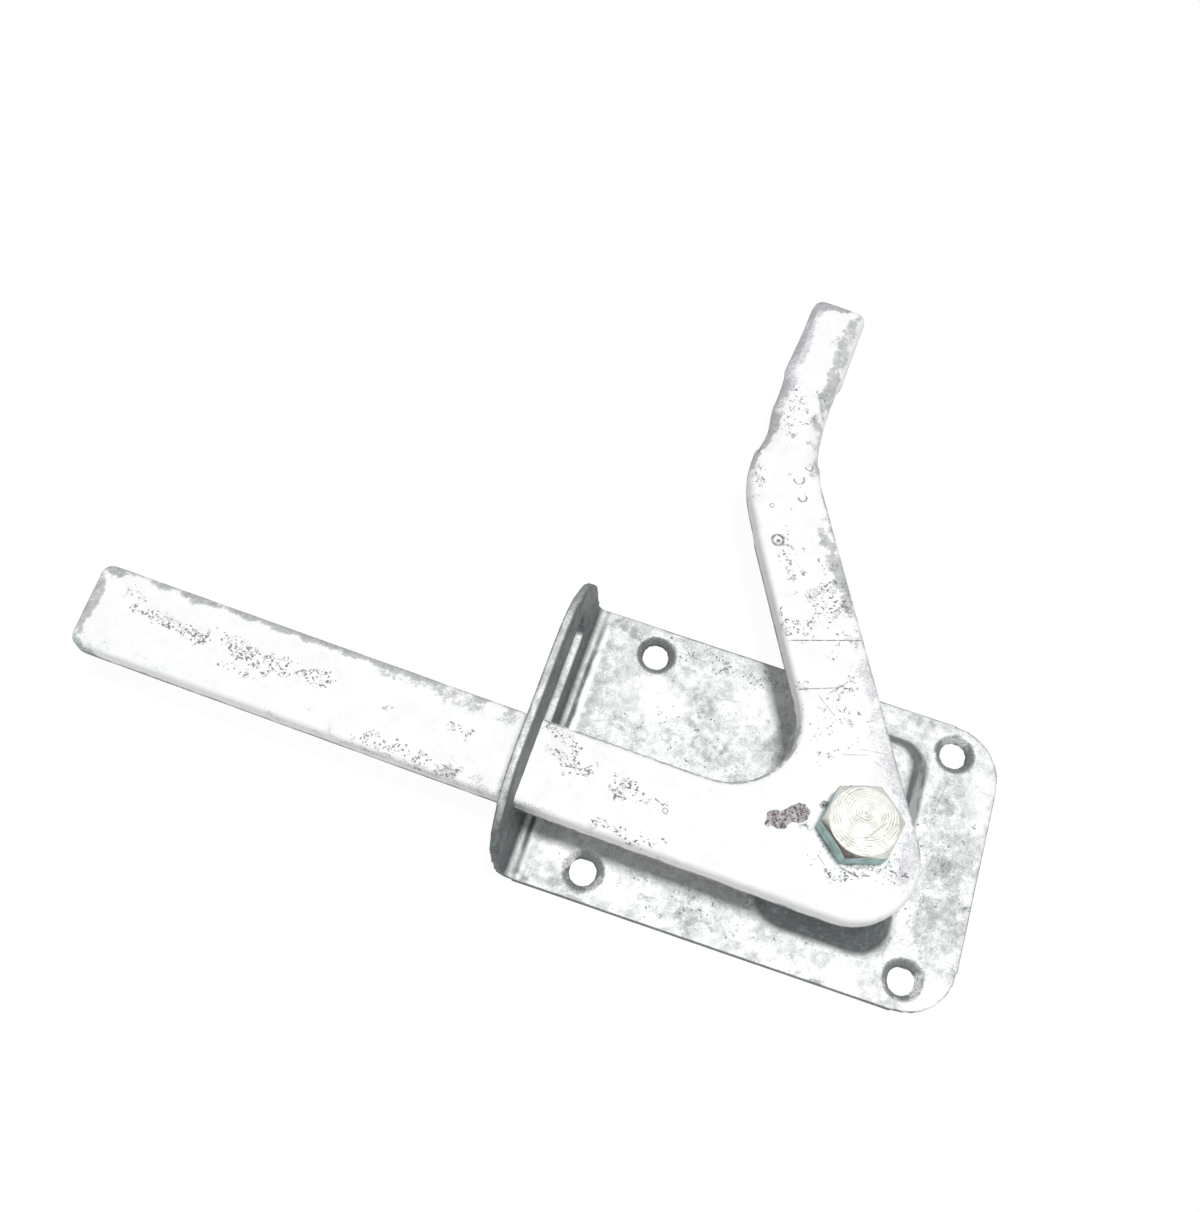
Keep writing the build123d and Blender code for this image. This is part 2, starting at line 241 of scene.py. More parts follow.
class Tree:
    """A small helper that adds nodes to a tree and links them."""

    def __init__(self, tree: bpy.types.NodeTree) -> None:
        """Take a tree and clear it."""
        self.tree = tree
        self.tree.nodes.clear()

    def add(self, kind: str, **values: object) -> bpy.types.Node:
        """Add a node.

        Args:
            kind: The node's type name.
            **values: Properties to set on it.

        Returns:
            The new node.
        """
        node = self.tree.nodes.new(kind)
        for name, value in values.items():
            setattr(node, name, value)
        return node

    def link(self, source: bpy.types.NodeSocket, target: bpy.types.NodeSocket) -> None:
        """Link two sockets."""
        self.tree.links.new(source, target)

    def put(self, value: object, target: bpy.types.NodeSocket) -> None:
        """Link a socket to the target, or set a plain value on it.

        Args:
            value: The socket or the plain value.
            target: The input that takes it.
        """
        if isinstance(value, bpy.types.NodeSocket):
            self.link(value, target)
        else:
            target.default_value = value

    def maths(self, operation: str, first: object, second: object = 0.0,
              clamp: bool = False) -> bpy.types.NodeSocket:
        """Add a maths node.

        Args:
            operation: The node's operation.
            first: The first value or socket.
            second: The second value or socket.
            clamp: Whether the result is held between 0 and 1.

        Returns:
            The result.
        """
        node = self.add("ShaderNodeMath", operation=operation, use_clamp=clamp)
        self.put(first, node.inputs[0])
        self.put(second, node.inputs[1])
        return node.outputs[0]

    def times(self, first: object, second: object, clamp: bool = False) -> bpy.types.NodeSocket:
        """Multiply two values."""
        return self.maths("MULTIPLY", first, second, clamp)

    def plus(self, first: object, second: object, clamp: bool = False) -> bpy.types.NodeSocket:
        """Add two values."""
        return self.maths("ADD", first, second, clamp)

    def minus(self, first: object, second: object) -> bpy.types.NodeSocket:
        """Take the second value from the first."""
        return self.maths("SUBTRACT", first, second)

    def size_of(self, value: bpy.types.NodeSocket) -> bpy.types.NodeSocket:
        """Drop a value's sign."""
        return self.maths("ABSOLUTE", value)

    def larger(self, first: object, second: object) -> bpy.types.NodeSocket:
        """Keep the larger of two values."""
        return self.maths("MAXIMUM", first, second)

    def shown_to_camera(self, real: bpy.types.NodeSocket,
                        shown: bpy.types.NodeSocket) -> bpy.types.NodeSocket:
        """Let the camera and mirrors see one shader and everything else another.

        Args:
            real: The shader that lights the object.
            shown: The shader that is seen.

        Returns:
            The mixed shader.
        """
        rays = self.add("ShaderNodeLightPath")
        pick = self.add("ShaderNodeMixShader")
        self.link(self.larger(rays.outputs["Is Camera Ray"], rays.outputs["Is Glossy Ray"]),
                  pick.inputs["Fac"])
        self.link(real, pick.inputs[1])
        self.link(shown, pick.inputs[2])
        return pick.outputs[0]

    def spread(self, value: bpy.types.NodeSocket, low: float, high: float,
               to_low: float = 0.0, to_high: float = 1.0) -> bpy.types.NodeSocket:
        """Map a range of a value onto another, smoothly and held at its ends.

        Args:
            value: The socket to map.
            low: The input's low end.
            high: The input's high end.
            to_low: The output at the low end.
            to_high: The output at the high end.

        Returns:
            The mapped value.
        """
        node = self.add("ShaderNodeMapRange", interpolation_type="SMOOTHSTEP")
        self.link(value, node.inputs["Value"])
        node.inputs["From Min"].default_value = low
        node.inputs["From Max"].default_value = high
        node.inputs["To Min"].default_value = to_low
        node.inputs["To Max"].default_value = to_high
        return node.outputs[0]


class Shader(Tree):
    """A material's tree with the parts that every metal finish here uses."""

    def __init__(self, name: str) -> None:
        """Make a material and place its output and surface shader.

        Args:
            name: The material's name.
        """
        self.material = bpy.data.materials.new(name)
        self.material.use_nodes = True
        super().__init__(self.material.node_tree)
        output = self.add("ShaderNodeOutputMaterial")
        self.surface = self.add("ShaderNodeBsdfPrincipled")
        self.link(self.surface.outputs["BSDF"], output.inputs["Surface"])
        self.place = self.add("ShaderNodeTexCoord").outputs["Object"]

    def turned(self, centre: tuple[float, float, float], degrees: float,
               scale: tuple[float, float, float] = (1, 1, 1)) -> bpy.types.NodeSocket:
        """Centre, turn and stretch the object coordinates.

        Args:
            centre: The point that becomes the origin, in metres.
            degrees: The turn about Z.
            scale: The stretch along each axis, after the turn.

        Returns:
            The mapped coordinates.
        """
        moved = self.add("ShaderNodeMapping", vector_type="POINT")
        self.link(self.place, moved.inputs["Vector"])
        moved.inputs["Location"].default_value = (-centre[0], -centre[1], -centre[2])
        spun = self.add("ShaderNodeMapping", vector_type="POINT")
        self.link(moved.outputs[0], spun.inputs["Vector"])
        spun.inputs["Rotation"].default_value = (0, 0, -math.radians(degrees))
        spun.inputs["Scale"].default_value = scale
        return spun.outputs[0]

    def lumps(self, size_mm: float, depth: float = 3.0, rough: float = 0.55,
              where: bpy.types.NodeSocket | None = None, warp: float = 0.0) -> bpy.types.NodeSocket:
        """Noise with lumps of a size, about 0 to 1.

        Args:
            size_mm: Size of a lump in millimetres.
            depth: Detail of the noise.
            rough: Roughness of the noise.
            where: Coordinates, or the object's own.
            warp: Distortion of the noise.

        Returns:
            The noise value.
        """
        node = self.add("ShaderNodeTexNoise")
        self.link(where or self.place, node.inputs["Vector"])
        node.inputs["Scale"].default_value = 1.0 / (size_mm * MM)
        node.inputs["Detail"].default_value = depth
        node.inputs["Roughness"].default_value = rough
        node.inputs["Distortion"].default_value = warp
        return node.outputs["Fac"]

    def flakes(self, size_mm: float) -> bpy.types.NodeSocket:
        """Crystal flakes, each with its own value.

        Args:
            size_mm: Size of a flake in millimetres.

        Returns:
            The flakes' values, 0 to 1.
        """
        node = self.add("ShaderNodeTexVoronoi")
        self.link(self.place, node.inputs["Vector"])
        node.inputs["Scale"].default_value = 1.0 / (size_mm * MM)
        split = self.add("ShaderNodeSeparateColor")
        self.link(node.outputs["Color"], split.inputs[0])
        return split.outputs["Red"]

    def stroke(self, stroke: "Stroke") -> bpy.types.NodeSocket:
        """Draw one scratch or ring on the upper face, with a broken edge.

        Args:
            stroke: The scratch or ring.

        Returns:
            Its strength, 0 to 1.
        """
        centre = (stroke.x * MM, stroke.y * MM, 0.0)
        split = self.add("ShaderNodeSeparateXYZ")
        self.link(self.turned(centre, stroke.turn), split.inputs[0])
        along, across = split.outputs["X"], split.outputs["Y"]
        if stroke.radius:
            flat = self.maths("SQRT", self.plus(self.times(along, along),
                                                self.times(across, across)))
            off = self.size_of(self.minus(flat, stroke.radius * MM))
            inside = self.spread(along, -stroke.length * MM, -stroke.length * 0.8 * MM)
        else:
            off = self.size_of(across)
            inside = self.spread(self.size_of(along), 0.35 * stroke.length * MM,
                                 0.5 * stroke.length * MM, 1.0, 0.0)
        line = self.spread(off, 0.25 * stroke.width * MM, stroke.width * MM, 1.0, 0.0)
        broken = self.spread(self.lumps(1.3, 2.0, 0.6), 0.36, 0.52, 0.5, 1.0)
        top = self.spread(split.outputs["Z"], (stroke.low_z - 0.1) * MM, stroke.low_z * MM)
        line = self.times(self.times(line, inside), broken)
        return self.times(self.times(line, top), stroke.strength)

    def mark(self, mark: Mark) -> bpy.types.NodeSocket:
        """Read one of the skin's per-vertex marks."""
        node = self.add("ShaderNodeAttribute", attribute_type="GEOMETRY", attribute_name=mark.value)
        return node.outputs["Fac"]

    def blend(self, amount: object, low: object, high: object) -> bpy.types.NodeSocket:
        """Mix two colours.

        Args:
            amount: How much of the second, as a value or socket.
            low: The first colour or socket.
            high: The second colour or socket.

        Returns:
            The mixed colour.
        """
        node = self.add("ShaderNodeMix", data_type="RGBA")
        self.put(amount, node.inputs["Factor"])
        for value, target in ((low, node.inputs["A"]), (high, node.inputs["B"])):
            self.put((*value, 1.0) if isinstance(value, tuple) else value, target)
        return node.outputs["Result"]

    def bump(self, height: bpy.types.NodeSocket, depth_mm: float, strength: float = 1.0,
             over: bpy.types.NodeSocket | None = None) -> bpy.types.NodeSocket:
        """Turn a height into a bumped normal.

        Args:
            height: The height, 0 to 1.
            depth_mm: How deep the height goes, in millimetres.
            strength: Strength of the bump.
            over: A normal to add it to.

        Returns:
            The bumped normal.
        """
        node = self.add("ShaderNodeBump")
        self.link(height, node.inputs["Height"])
        node.inputs["Distance"].default_value = depth_mm * MM
        node.inputs["Strength"].default_value = strength
        if over is not None:
            self.link(over, node.inputs["Normal"])
        return node.outputs["Normal"]


def paler(colour: Colour, share: float) -> Colour:
    """Scale a colour, held below white; a share under 1 darkens it."""
    return tuple(min(1.0, part * share) for part in colour)


@dataclass(frozen=True)
class ZincSkin:
    """Hot-dip zinc over forged or pressed steel.

    Attributes:
        name: The material's name.
        bright: Clean zinc facing out.
        frost: Duller zinc crystals.
        blotch: Darker stains in the zinc; a paler form of it also colours the grey mark, which in
            places is painted shade and reflection.
        shade_on_walls: Painted shade on steep walls.
        blotch_mm: Size of the stains.
        blotch_from: Noise level at which the stains start.
        frost_share: How much of the face the dull crystals take.
        speck_share: How dark the fine specks are.
        metal: Metallic share of the zinc.
        shine: Roughness of the clean zinc.
        dull: Roughness of the stained zinc.
        strokes: Scratches and rings on it.
    """

    name: str
    bright: Colour
    frost: Colour
    blotch: Colour
    shade_on_walls: Colour
    blotch_mm: float
    blotch_from: float
    frost_share: float
    speck_share: float
    metal: float
    shine: float
    dull: float
    strokes: tuple[Stroke, ...]

    def face(self, s: Shader) -> bpy.types.NodeSocket:
        """Mix the open faces' colour from crystals, stains and marks, some of which are painted
        shade and highlight.

        Args:
            s: The material's tree.

        Returns:
            The colour.
        """
        broad = s.lumps(self.blotch_mm, 4.0, 0.62, warp=0.4)
        small = s.lumps(2.4, 4.0, 0.7)
        grain = s.lumps(0.6, 3.0, 0.7)
        mixed = s.plus(s.times(small, 0.38), s.times(grain, 0.5))
        mixed = s.plus(mixed, s.times(s.flakes(1.3), 0.12))
        crystal = s.spread(mixed, 0.42, 0.60)
        colour = s.blend(s.times(crystal, self.frost_share), self.bright, self.frost)
        stain = s.spread(broad, self.blotch_from, self.blotch_from + 0.2)
        stain = s.times(stain, s.spread(small, 0.3, 0.62, 0.3, 1.0))
        colour = s.blend(stain, colour, self.blotch)
        crumbs = s.plus(s.times(s.minus(grain, 0.5), 1.5), s.minus(small, 0.5))
        # The grey mark paints stains, and in places shade and a grey reflection
        grey_stain_and_shade = s.blend(s.spread(grain, 0.38, 0.60), self.blotch, paler(self.blotch, 1.9))
        grey = s.spread(s.plus(s.mark(Mark.GREY), crumbs), 0.32, 0.85)
        grey = s.times(grey, s.spread(s.mark(Mark.GREY), 0.02, 0.2))
        colour = s.blend(grey, colour, grey_stain_and_shade)
        speck = s.spread(grain, 0.30, 0.40, self.speck_share, 0.0)
        colour = s.blend(speck, colour, self.blotch)
        # The bright mark shows clean zinc, and in places a painted highlight
        bright = s.times(s.mark(Mark.BRIGHT), s.spread(grain, 0.35, 0.58, 0.25, 1.0))
        colour = s.blend(bright, colour, CLEAN_ZINC_AND_HIGHLIGHT)
        # Lilac and cyan tints; the lilac on the grip's edges is painted shade
        for mark, tone in ((Mark.LILAC, LILAC_TINT_AND_SHADE), (Mark.CYAN, CYAN_TINT)):
            tint = s.spread(s.plus(s.mark(mark), crumbs), 0.25, 1.1, 0.0, 0.9)
            tint = s.times(tint, s.spread(s.mark(mark), 0.02, 0.2))
            colour = s.blend(tint, colour, tone)
        return colour

    def pits(self, s: Shader) -> bpy.types.NodeSocket:
        """Draw the worm-like pits and pinholes where the skin is marked for them.

        Args:
            s: The material's tree.

        Returns:
            The pits' strength.
        """
        marked = s.mark(Mark.PITS)
        ridge = s.size_of(s.minus(s.lumps(1.35, 1.0, 0.5, warp=0.8), 0.5))
        worm = s.spread(ridge, 0.010, 0.030, 1.0, 0.0)
        level = s.minus(0.74, s.times(marked, 0.26))
        where = s.minus(s.lumps(2.6, 1.5, 0.5), level)
        worm = s.times(worm, s.spread(where, 0.0, 0.04))
        pin = s.minus(s.lumps(0.75, 1.0, 0.5), s.plus(level, 0.10))
        spots = s.larger(worm, s.spread(pin, 0.0, 0.03))
        return s.times(spots, s.spread(marked, 0.02, 0.25), clamp=True)

    def build(self) -> bpy.types.Material:
        """Make the material.

        Returns:
            The material.
        """
        s = Shader(self.name)
        colour = self.face(s)
        small = s.lumps(1.8, 4.0, 0.7)
        # Painted shade on steep walls, held back where the bright mark paints a highlight
        steep = s.times(s.mark(Mark.WALL_SHADE), s.spread(small, 0.2, 0.75, 0.8, 1.15), clamp=True)
        steep = s.times(steep, s.spread(s.mark(Mark.BRIGHT), 0.0, 1.0, 1.0, 0.1))
        shade_on_walls = s.blend(s.spread(small, 0.42, 0.66), self.shade_on_walls, paler(self.shade_on_walls, 2.2))
        colour = s.blend(steep, colour, shade_on_walls)

        hole = self.pits(s)
        colour = s.blend(s.times(hole, 0.85), colour, PIT_SHADE)
        line = reduce(s.larger, [s.stroke(stroke) for stroke in self.strokes])
        colour = s.blend(line, colour, SCRATCH_SHADE)
        hole = s.larger(hole, line)

        dross = s.mark(Mark.DROSS)
        crumb = s.lumps(1.0, 4.0, 0.7, warp=0.8)
        crust = s.blend(s.spread(crumb, 0.40, 0.58), CRUST_HOLLOW, CRUST_CREST)
        colour = s.blend(s.spread(dross, 0.30, 0.5), colour, crust)
        s.link(colour, s.surface.inputs["Base Color"])

        rough = s.spread(s.lumps(6.0, 3.0, 0.6), 0.35, 0.65, self.shine, self.dull)
        s.link(s.plus(rough, s.times(s.larger(hole, dross), 0.3), clamp=True),
               s.surface.inputs["Roughness"])
        s.surface.inputs["Metallic"].default_value = self.metal
        waves = s.bump(s.lumps(5.0, 2.0, 0.5), 0.25, 0.5)
        tooth = s.bump(s.lumps(0.6, 2.0, 0.6), 0.06, 0.5, waves)
        sunk = s.bump(s.minus(1.0, hole), 0.12, 0.8, tooth)
        crusty = s.bump(s.times(crumb, dross), 0.6, 0.8, sunk)
        s.link(crusty, s.surface.inputs["Normal"])
        return s.material


@dataclass(frozen=True)
class TurnedZinc:
    """Bright zinc plating over a turned face, with fine rings about the pivot.

    Attributes:
        name: The material's name.
        face: The plating's colour.
        side: The colour of its steep sides.
        seam: The colour of dirt in its grooves.
        ring_mm: Spacing of the turning marks.
        off_centre_mm: How far the turning marks lie off the pivot, along Y.
        strokes: Scratches on it.
    """

    name: str
    face: Colour
    side: Colour
    seam: Colour
    ring_mm: float
    off_centre_mm: float = 0.0
    strokes: tuple[Stroke, ...] = ()

    def build(self) -> bpy.types.Material:
        """Make the material.

        Returns:
            The material.
        """
        s = Shader(self.name)
        centred = s.turned((PIVOT_X, PIVOT_Y + self.off_centre_mm * MM, 0.0), 0.0)
        rings = s.add("ShaderNodeTexWave", wave_type="RINGS", rings_direction="Z",
                      wave_profile="SIN")
        s.link(centred, rings.inputs["Vector"])
        rings.inputs["Scale"].default_value = math.tau / (20.0 * self.ring_mm * MM)
        rings.inputs["Distortion"].default_value = 2.4
        rings.inputs["Detail"].default_value = 3.0
        rings.inputs["Detail Scale"].default_value = 1.5
        ring = rings.outputs["Fac"]
        soft = s.lumps(3.0, 3.0, 0.6)
        colour = s.blend(s.spread(soft, 0.3, 0.7, 0.0, 0.6), self.face, paler(self.face, 0.80))
        fine = s.lumps(0.9, 3.0, 0.7)
        worn = s.times(s.spread(fine, 0.38, 0.6, 0.2, 1.0),
                       s.spread(s.lumps(3.5, 2.0, 0.5), 0.40, 0.62, 0.15, 1.0))
        groove = s.times(s.spread(ring, 0.45, 0.85), worn)
        colour = s.blend(groove, colour, self.seam)
        normal = s.add("ShaderNodeNewGeometry").outputs["Normal"]
        split = s.add("ShaderNodeSeparateXYZ")
        s.link(normal, split.inputs[0])
        upright = s.size_of(split.outputs["Z"])
        steep = s.spread(upright, 0.35, 0.75, 1.0, 0.0)
        flat_side = s.blend(s.spread(soft, 0.35, 0.65), self.side, paler(self.side, 0.6))
        slope = s.size_of(s.minus(upright, 0.80))
        # Paint dark brown shade on the chamfers that face one way
        facing = s.plus(s.times(split.outputs["X"], SHADED_CHAMFER_WAY[0]),
                        s.times(split.outputs["Y"], SHADED_CHAMFER_WAY[1]))
        chamfer = s.times(s.spread(slope, 0.08, 0.16, 1.0, 0.0),
                          s.spread(facing, 0.25, 0.5, 0.0, 0.95))
        colour = s.blend(steep, colour, flat_side)
        colour = s.blend(chamfer, colour, CHAMFER_SHADE)
        for stroke in self.strokes:
            colour = s.blend(s.stroke(stroke), colour, self.seam)
        s.link(colour, s.surface.inputs["Base Color"])
        s.link(s.spread(soft, 0.3, 0.7, 0.55, 0.66), s.surface.inputs["Roughness"])
        s.surface.inputs["Metallic"].default_value = 0.35
        cut = s.bump(ring, 0.03, 0.5)
        s.link(s.bump(s.lumps(1.0, 2.0), 0.04, 0.4, cut), s.surface.inputs["Normal"])
        return s.material


@dataclass(frozen=True)
class PlainMetal:
    """Turned or drawn steel, bare or thinly plated.

    Attributes:
        name: The material's name.
        colour: Its clean colour.
        worn: The colour of its dull streaks.
        streak: Stretch of the streaks along each axis.
        metal: Metallic share.
        rough: Roughness.
    """

    name: str
    colour: Colour
    worn: Colour
    streak: tuple[float, float, float]
    metal: float
    rough: float

    def build(self) -> bpy.types.Material:
        """Make the material.

        Returns:
            The material.
        """
        s = Shader(self.name)
        along = s.turned((PIVOT_X, PIVOT_Y, 0.0), 0.0, self.streak)
        streaks = s.lumps(1.2, 3.0, 0.6, along)
        stains = s.lumps(4.0, 3.0, 0.6)
        colour = s.blend(s.spread(streaks, 0.35, 0.65), self.colour, self.worn)
        colour = s.blend(s.spread(stains, 0.55, 0.75, 0.0, 0.6), colour, paler(self.worn, 0.6))
        s.link(colour, s.surface.inputs["Base Color"])
        s.link(s.spread(stains, 0.3, 0.7, self.rough - 0.08, self.rough + 0.14),
               s.surface.inputs["Roughness"])
        s.surface.inputs["Metallic"].default_value = self.metal
        s.link(s.bump(streaks, 0.03, 0.5), s.surface.inputs["Normal"])
        return s.material


LEVER_STROKES = (
    Stroke(-1.5, 44.0, 24.0, 0.24, 20.0, 0.95),
    Stroke(0.0, 29.5, 14.0, 0.20, 22.0, 0.8),
    Stroke(5.0, 31.5, 8.0, 0.18, 50.0, 0.7),
    Stroke(3.0, 25.5, 8.0, 0.16, -38.0, 0.6),
    Stroke(-22.5, 69.3, 9.0, 0.55, 0.0, 1.0, 1.6),
    Stroke(-22.3, 69.1, 9.0, 0.40, 0.0, 1.0, 0.30),
    Stroke(-21.8, 90.5, 0.5, 0.34, -60.0, 0.95, 1.5),
    Stroke(-19.3, 85.0, 0.4, 0.34, -60.0, 0.95, 1.2),
    Stroke(-20.0, 95.5, 0.4, 0.30, -60.0, 0.8, 1.1),
    Stroke(-27.0, 79.5, 9.0, 0.25, 0.0, 0.7, 0.6),
    Stroke(-29.5, -17.0, 9.0, 0.22, 0.0, 0.6, 0.7),
    Stroke(-107.5, -14.8, 2.2, 0.2, 60.0, 0.7),
    Stroke(-107.5, -15.2, 2.2, 0.2, -20.0, 0.6),
    Stroke(-52.0, -12.5, 3.0, 0.22, 45.0, 0.7),
    Stroke(-50.0, -11.0, 1.6, 0.2, -60.0, 0.6),
    Stroke(20.0, -16.8, 6.2, 0.42, -9.0, 1.0),
    Stroke(24.4, -16.3, 3.0, 0.26, 18.0, 0.8),
    Stroke(12.3, -16.1, 3.6, 0.13, -38.0, 0.6),
    Stroke(14.0, 14.5, 8.0, 0.16, 18.0, 0.5),
    Stroke(18.5, 17.0, 9.0, 0.15, 8.0, 0.45),
    Stroke(22.0, 13.5, 7.0, 0.15, -18.0, 0.45),
)
LEVER_ZINC = ZincSkin("hot_dip_zinc_on_forging", bright=(0.94, 0.94, 0.94),
                      frost=(0.87, 0.875, 0.875), blotch=(0.30, 0.31, 0.31),
                      shade_on_walls=(0.17, 0.165, 0.165), blotch_mm=9.0, blotch_from=0.66,
                      frost_share=0.5, speck_share=0.14, metal=0.15, shine=0.66, dull=0.80,
                      strokes=LEVER_STROKES)
PLATE_STROKES = (
    Stroke(-22.0, 27.0, 10.0, 0.12, 10.0, 0.4, 0.0, 2.2),
    Stroke(44.0, 20.0, 14.0, 0.14, 80.0, 0.45, 0.0, 2.2),
    Stroke(-10.0, -36.0, 9.0, 0.12, 0.0, 0.4, 0.0, 2.2),
    Stroke(-36.0, 36.5, 12.0, 0.16, -4.0, 0.5, 0.0, 2.2),
)
PLATE_ZINC = ZincSkin("hot_dip_zinc_on_sheet", bright=(0.75, 0.77, 0.76),
                      frost=(0.53, 0.55, 0.54), blotch=(0.25, 0.265, 0.255),
                      shade_on_walls=(0.085, 0.098, 0.10), blotch_mm=7.0, blotch_from=0.54,
                      frost_share=0.95, speck_share=0.5, metal=0.3, shine=0.50, dull=0.72,
                      strokes=PLATE_STROKES)
BOLT_ZINC = TurnedZinc("zinc_plate_on_bolt", face=(0.73, 0.75, 0.70), side=(0.42, 0.60, 0.58),
                       seam=(0.36, 0.34, 0.29), ring_mm=0.75, off_centre_mm=2.2,
                       strokes=(Stroke(22.6, -6.6, 8.5, 0.24, 55.0, 0.8, 0.0, 32.0),))
NUT_ZINC = TurnedZinc("zinc_plate_on_nut", face=(0.72, 0.73, 0.71), side=(0.30, 0.34, 0.34),
                      seam=(0.36, 0.35, 0.30), ring_mm=0.8)
WASHER_ZINC = PlainMetal("zinc_plate_on_washer", colour=(0.74, 0.75, 0.75),
                         worn=(0.58, 0.59, 0.60), streak=(1, 1, 4), metal=0.6, rough=0.38)
BUSH_STEEL = PlainMetal("turned_bush_steel", colour=(0.50, 0.50, 0.51),
                        worn=(0.34, 0.33, 0.33), streak=(1, 1, 6), metal=0.8, rough=0.36)
SPRING_STEEL = PlainMetal("drawn_spring_wire", colour=(0.36, 0.37, 0.39),
                          worn=(0.24, 0.24, 0.25), streak=(1, 1, 3), metal=0.8, rough=0.42)
SCREW_STEEL = PlainMetal("plated_screw_thread", colour=(0.66, 0.66, 0.63),
                         worn=(0.46, 0.46, 0.43), streak=(1, 1, 5), metal=0.7, rough=0.36)
ZINC_CRUST = PlainMetal("zinc_crust", colour=(0.74, 0.75, 0.73), worn=(0.50, 0.50, 0.50),
                        streak=(1, 1, 1), metal=0.35, rough=0.5)


def link_object(name: str, data: bpy.types.ID) -> bpy.types.Object:
    """Make an object for some data and put it in the scene.

    Args:
        name: The object's name.
        data: Its mesh, curve, lamp or camera.

    Returns:
        The object.
    """
    obj = bpy.data.objects.new(name, data)
    bpy.context.scene.collection.objects.link(obj)
    return obj


def joined_copy(node: str, name: str, flatten: bool = False) -> bpy.types.Object:
    """Copy a CAD node's mesh, with its loose triangles joined.

    Args:
        node: The CAD node.
        name: The copy's name.
        flatten: Whether triangles in one plane are made one face.

    Returns:
        The copy.
    """
    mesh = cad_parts[node].data.copy()
    work = bmesh.new()
    work.from_mesh(mesh)
    bmesh.ops.remove_doubles(work, verts=work.verts, dist=JOIN)
    if flatten:
        bmesh.ops.dissolve_limit(work, angle_limit=math.radians(1.0), verts=work.verts,
                                 edges=work.edges)
    bmesh.ops.recalc_face_normals(work, faces=work.faces)
    work.to_mesh(mesh)
    work.free()
    return link_object(name, mesh)


def about_pivot(radius: float, angle: float, level: float) -> Vector:
    """Find a point at a radius, an angle in radians and a level about the pivot."""
    return Vector((PIVOT_X + radius * math.cos(angle), PIVOT_Y + radius * math.sin(angle), level))


def set_sockets(modifier: bpy.types.NodesModifier, values: dict[str, object]) -> None:
    """Set a Geometry Nodes modifier's inputs by their names.

    Args:
        modifier: The modifier whose tree is already set.
        values: The inputs' names and values.
    """
    for item in modifier.node_group.interface.items_tree:
        if item.item_type == "SOCKET" and item.in_out == "INPUT" and item.name in values:
            modifier[item.identifier] = values[item.name]


def as_plain_mesh(obj: bpy.types.Object) -> bpy.types.Object:
    """Swap an object for one with its evaluated mesh and no modifiers.

    Args:
        obj: The object with live modifiers.

    Returns:
        The plain mesh object, with the same name.
    """
    bpy.context.view_layer.update()
    graph = bpy.context.evaluated_depsgraph_get()
    mesh = bpy.data.meshes.new_from_object(obj.evaluated_get(graph), depsgraph=graph)
    name = obj.name
    obj.name = name + "_source"
    plain = link_object(name, mesh)
    bpy.data.objects.remove(obj)
    return plain


def give_material(obj: bpy.types.Object, material: bpy.types.Material) -> None:
    """Leave an object with one material."""
    obj.data.materials.clear()
    obj.data.materials.append(material)


class GeometryTree(Tree):
    """A Geometry Nodes tree with named inputs."""

    def __init__(self, name: str, inputs: dict[str, tuple[str, object]]) -> None:
        """Make the tree.

        Args:
            name: The tree's name.
            inputs: Each named input's socket type and default value.
        """
        group = bpy.data.node_groups.new(name, "GeometryNodeTree")
        super().__init__(group)
        group.interface.new_socket("Geometry", in_out="INPUT", socket_type="NodeSocketGeometry")
        for title, (kind, value) in inputs.items():
            socket = group.interface.new_socket(title, in_out="INPUT", socket_type=kind)
            if kind != "NodeSocketMaterial":
                socket.default_value = value
        group.interface.new_socket("Geometry", in_out="OUTPUT", socket_type="NodeSocketGeometry")
        self.given = self.add("NodeGroupInput").outputs
        self.result = self.add("NodeGroupOutput").inputs[0]

    def close(self, geometry: bpy.types.NodeSocket) -> None:
        """End the tree in Realize Instances and Set Material.

        Args:
            geometry: The last geometry before them.
        """
        real = self.add("GeometryNodeRealizeInstances")
        self.link(geometry, real.inputs["Geometry"])
        painted = self.add("GeometryNodeSetMaterial")
        self.link(real.outputs[0], painted.inputs["Geometry"])
        self.link(self.given["Material"], painted.inputs["Material"])
        self.link(painted.outputs[0], self.result)


def uneven_tree() -> bpy.types.NodeTree:
    """Build the tree that lets a skin wave and sag as run zinc does.

    Returns:
        A tree that moves each point along its normal by two sizes of noise.
    """
    t = GeometryTree("uneven_zinc", {
        "Wave Size": ("NodeSocketFloat", 0.012),
        "Wave Depth": ("NodeSocketFloat", 0.0001),
        "Grain Size": ("NodeSocketFloat", 0.002),
        "Grain Depth": ("NodeSocketFloat", 0.00005),
        "Material": ("NodeSocketMaterial", None),
    })
    mostly_inwards = 0.62
    lifts = []
    for size, depth in (("Wave Size", "Wave Depth"), ("Grain Size", "Grain Depth")):
        field_node = t.add("ShaderNodeTexNoise")
        t.link(t.add("GeometryNodeInputPosition").outputs[0], field_node.inputs["Vector"])
        t.link(t.maths("DIVIDE", 1.0, t.given[size]), field_node.inputs["Scale"])
        field_node.inputs["Detail"].default_value = 2.0
        lifts.append(t.times(t.minus(field_node.outputs["Fac"], mostly_inwards), t.given[depth]))
    offset = t.add("ShaderNodeVectorMath", operation="SCALE")
    t.link(t.add("GeometryNodeInputNormal").outputs[0], offset.inputs[0])
    t.link(t.plus(*lifts), offset.inputs["Scale"])
    moved = t.add("GeometryNodeSetPosition")
    t.link(t.given["Geometry"], moved.inputs["Geometry"])
    t.link(offset.outputs[0], moved.inputs["Offset"])
    t.close(moved.outputs[0])
    return t.tree


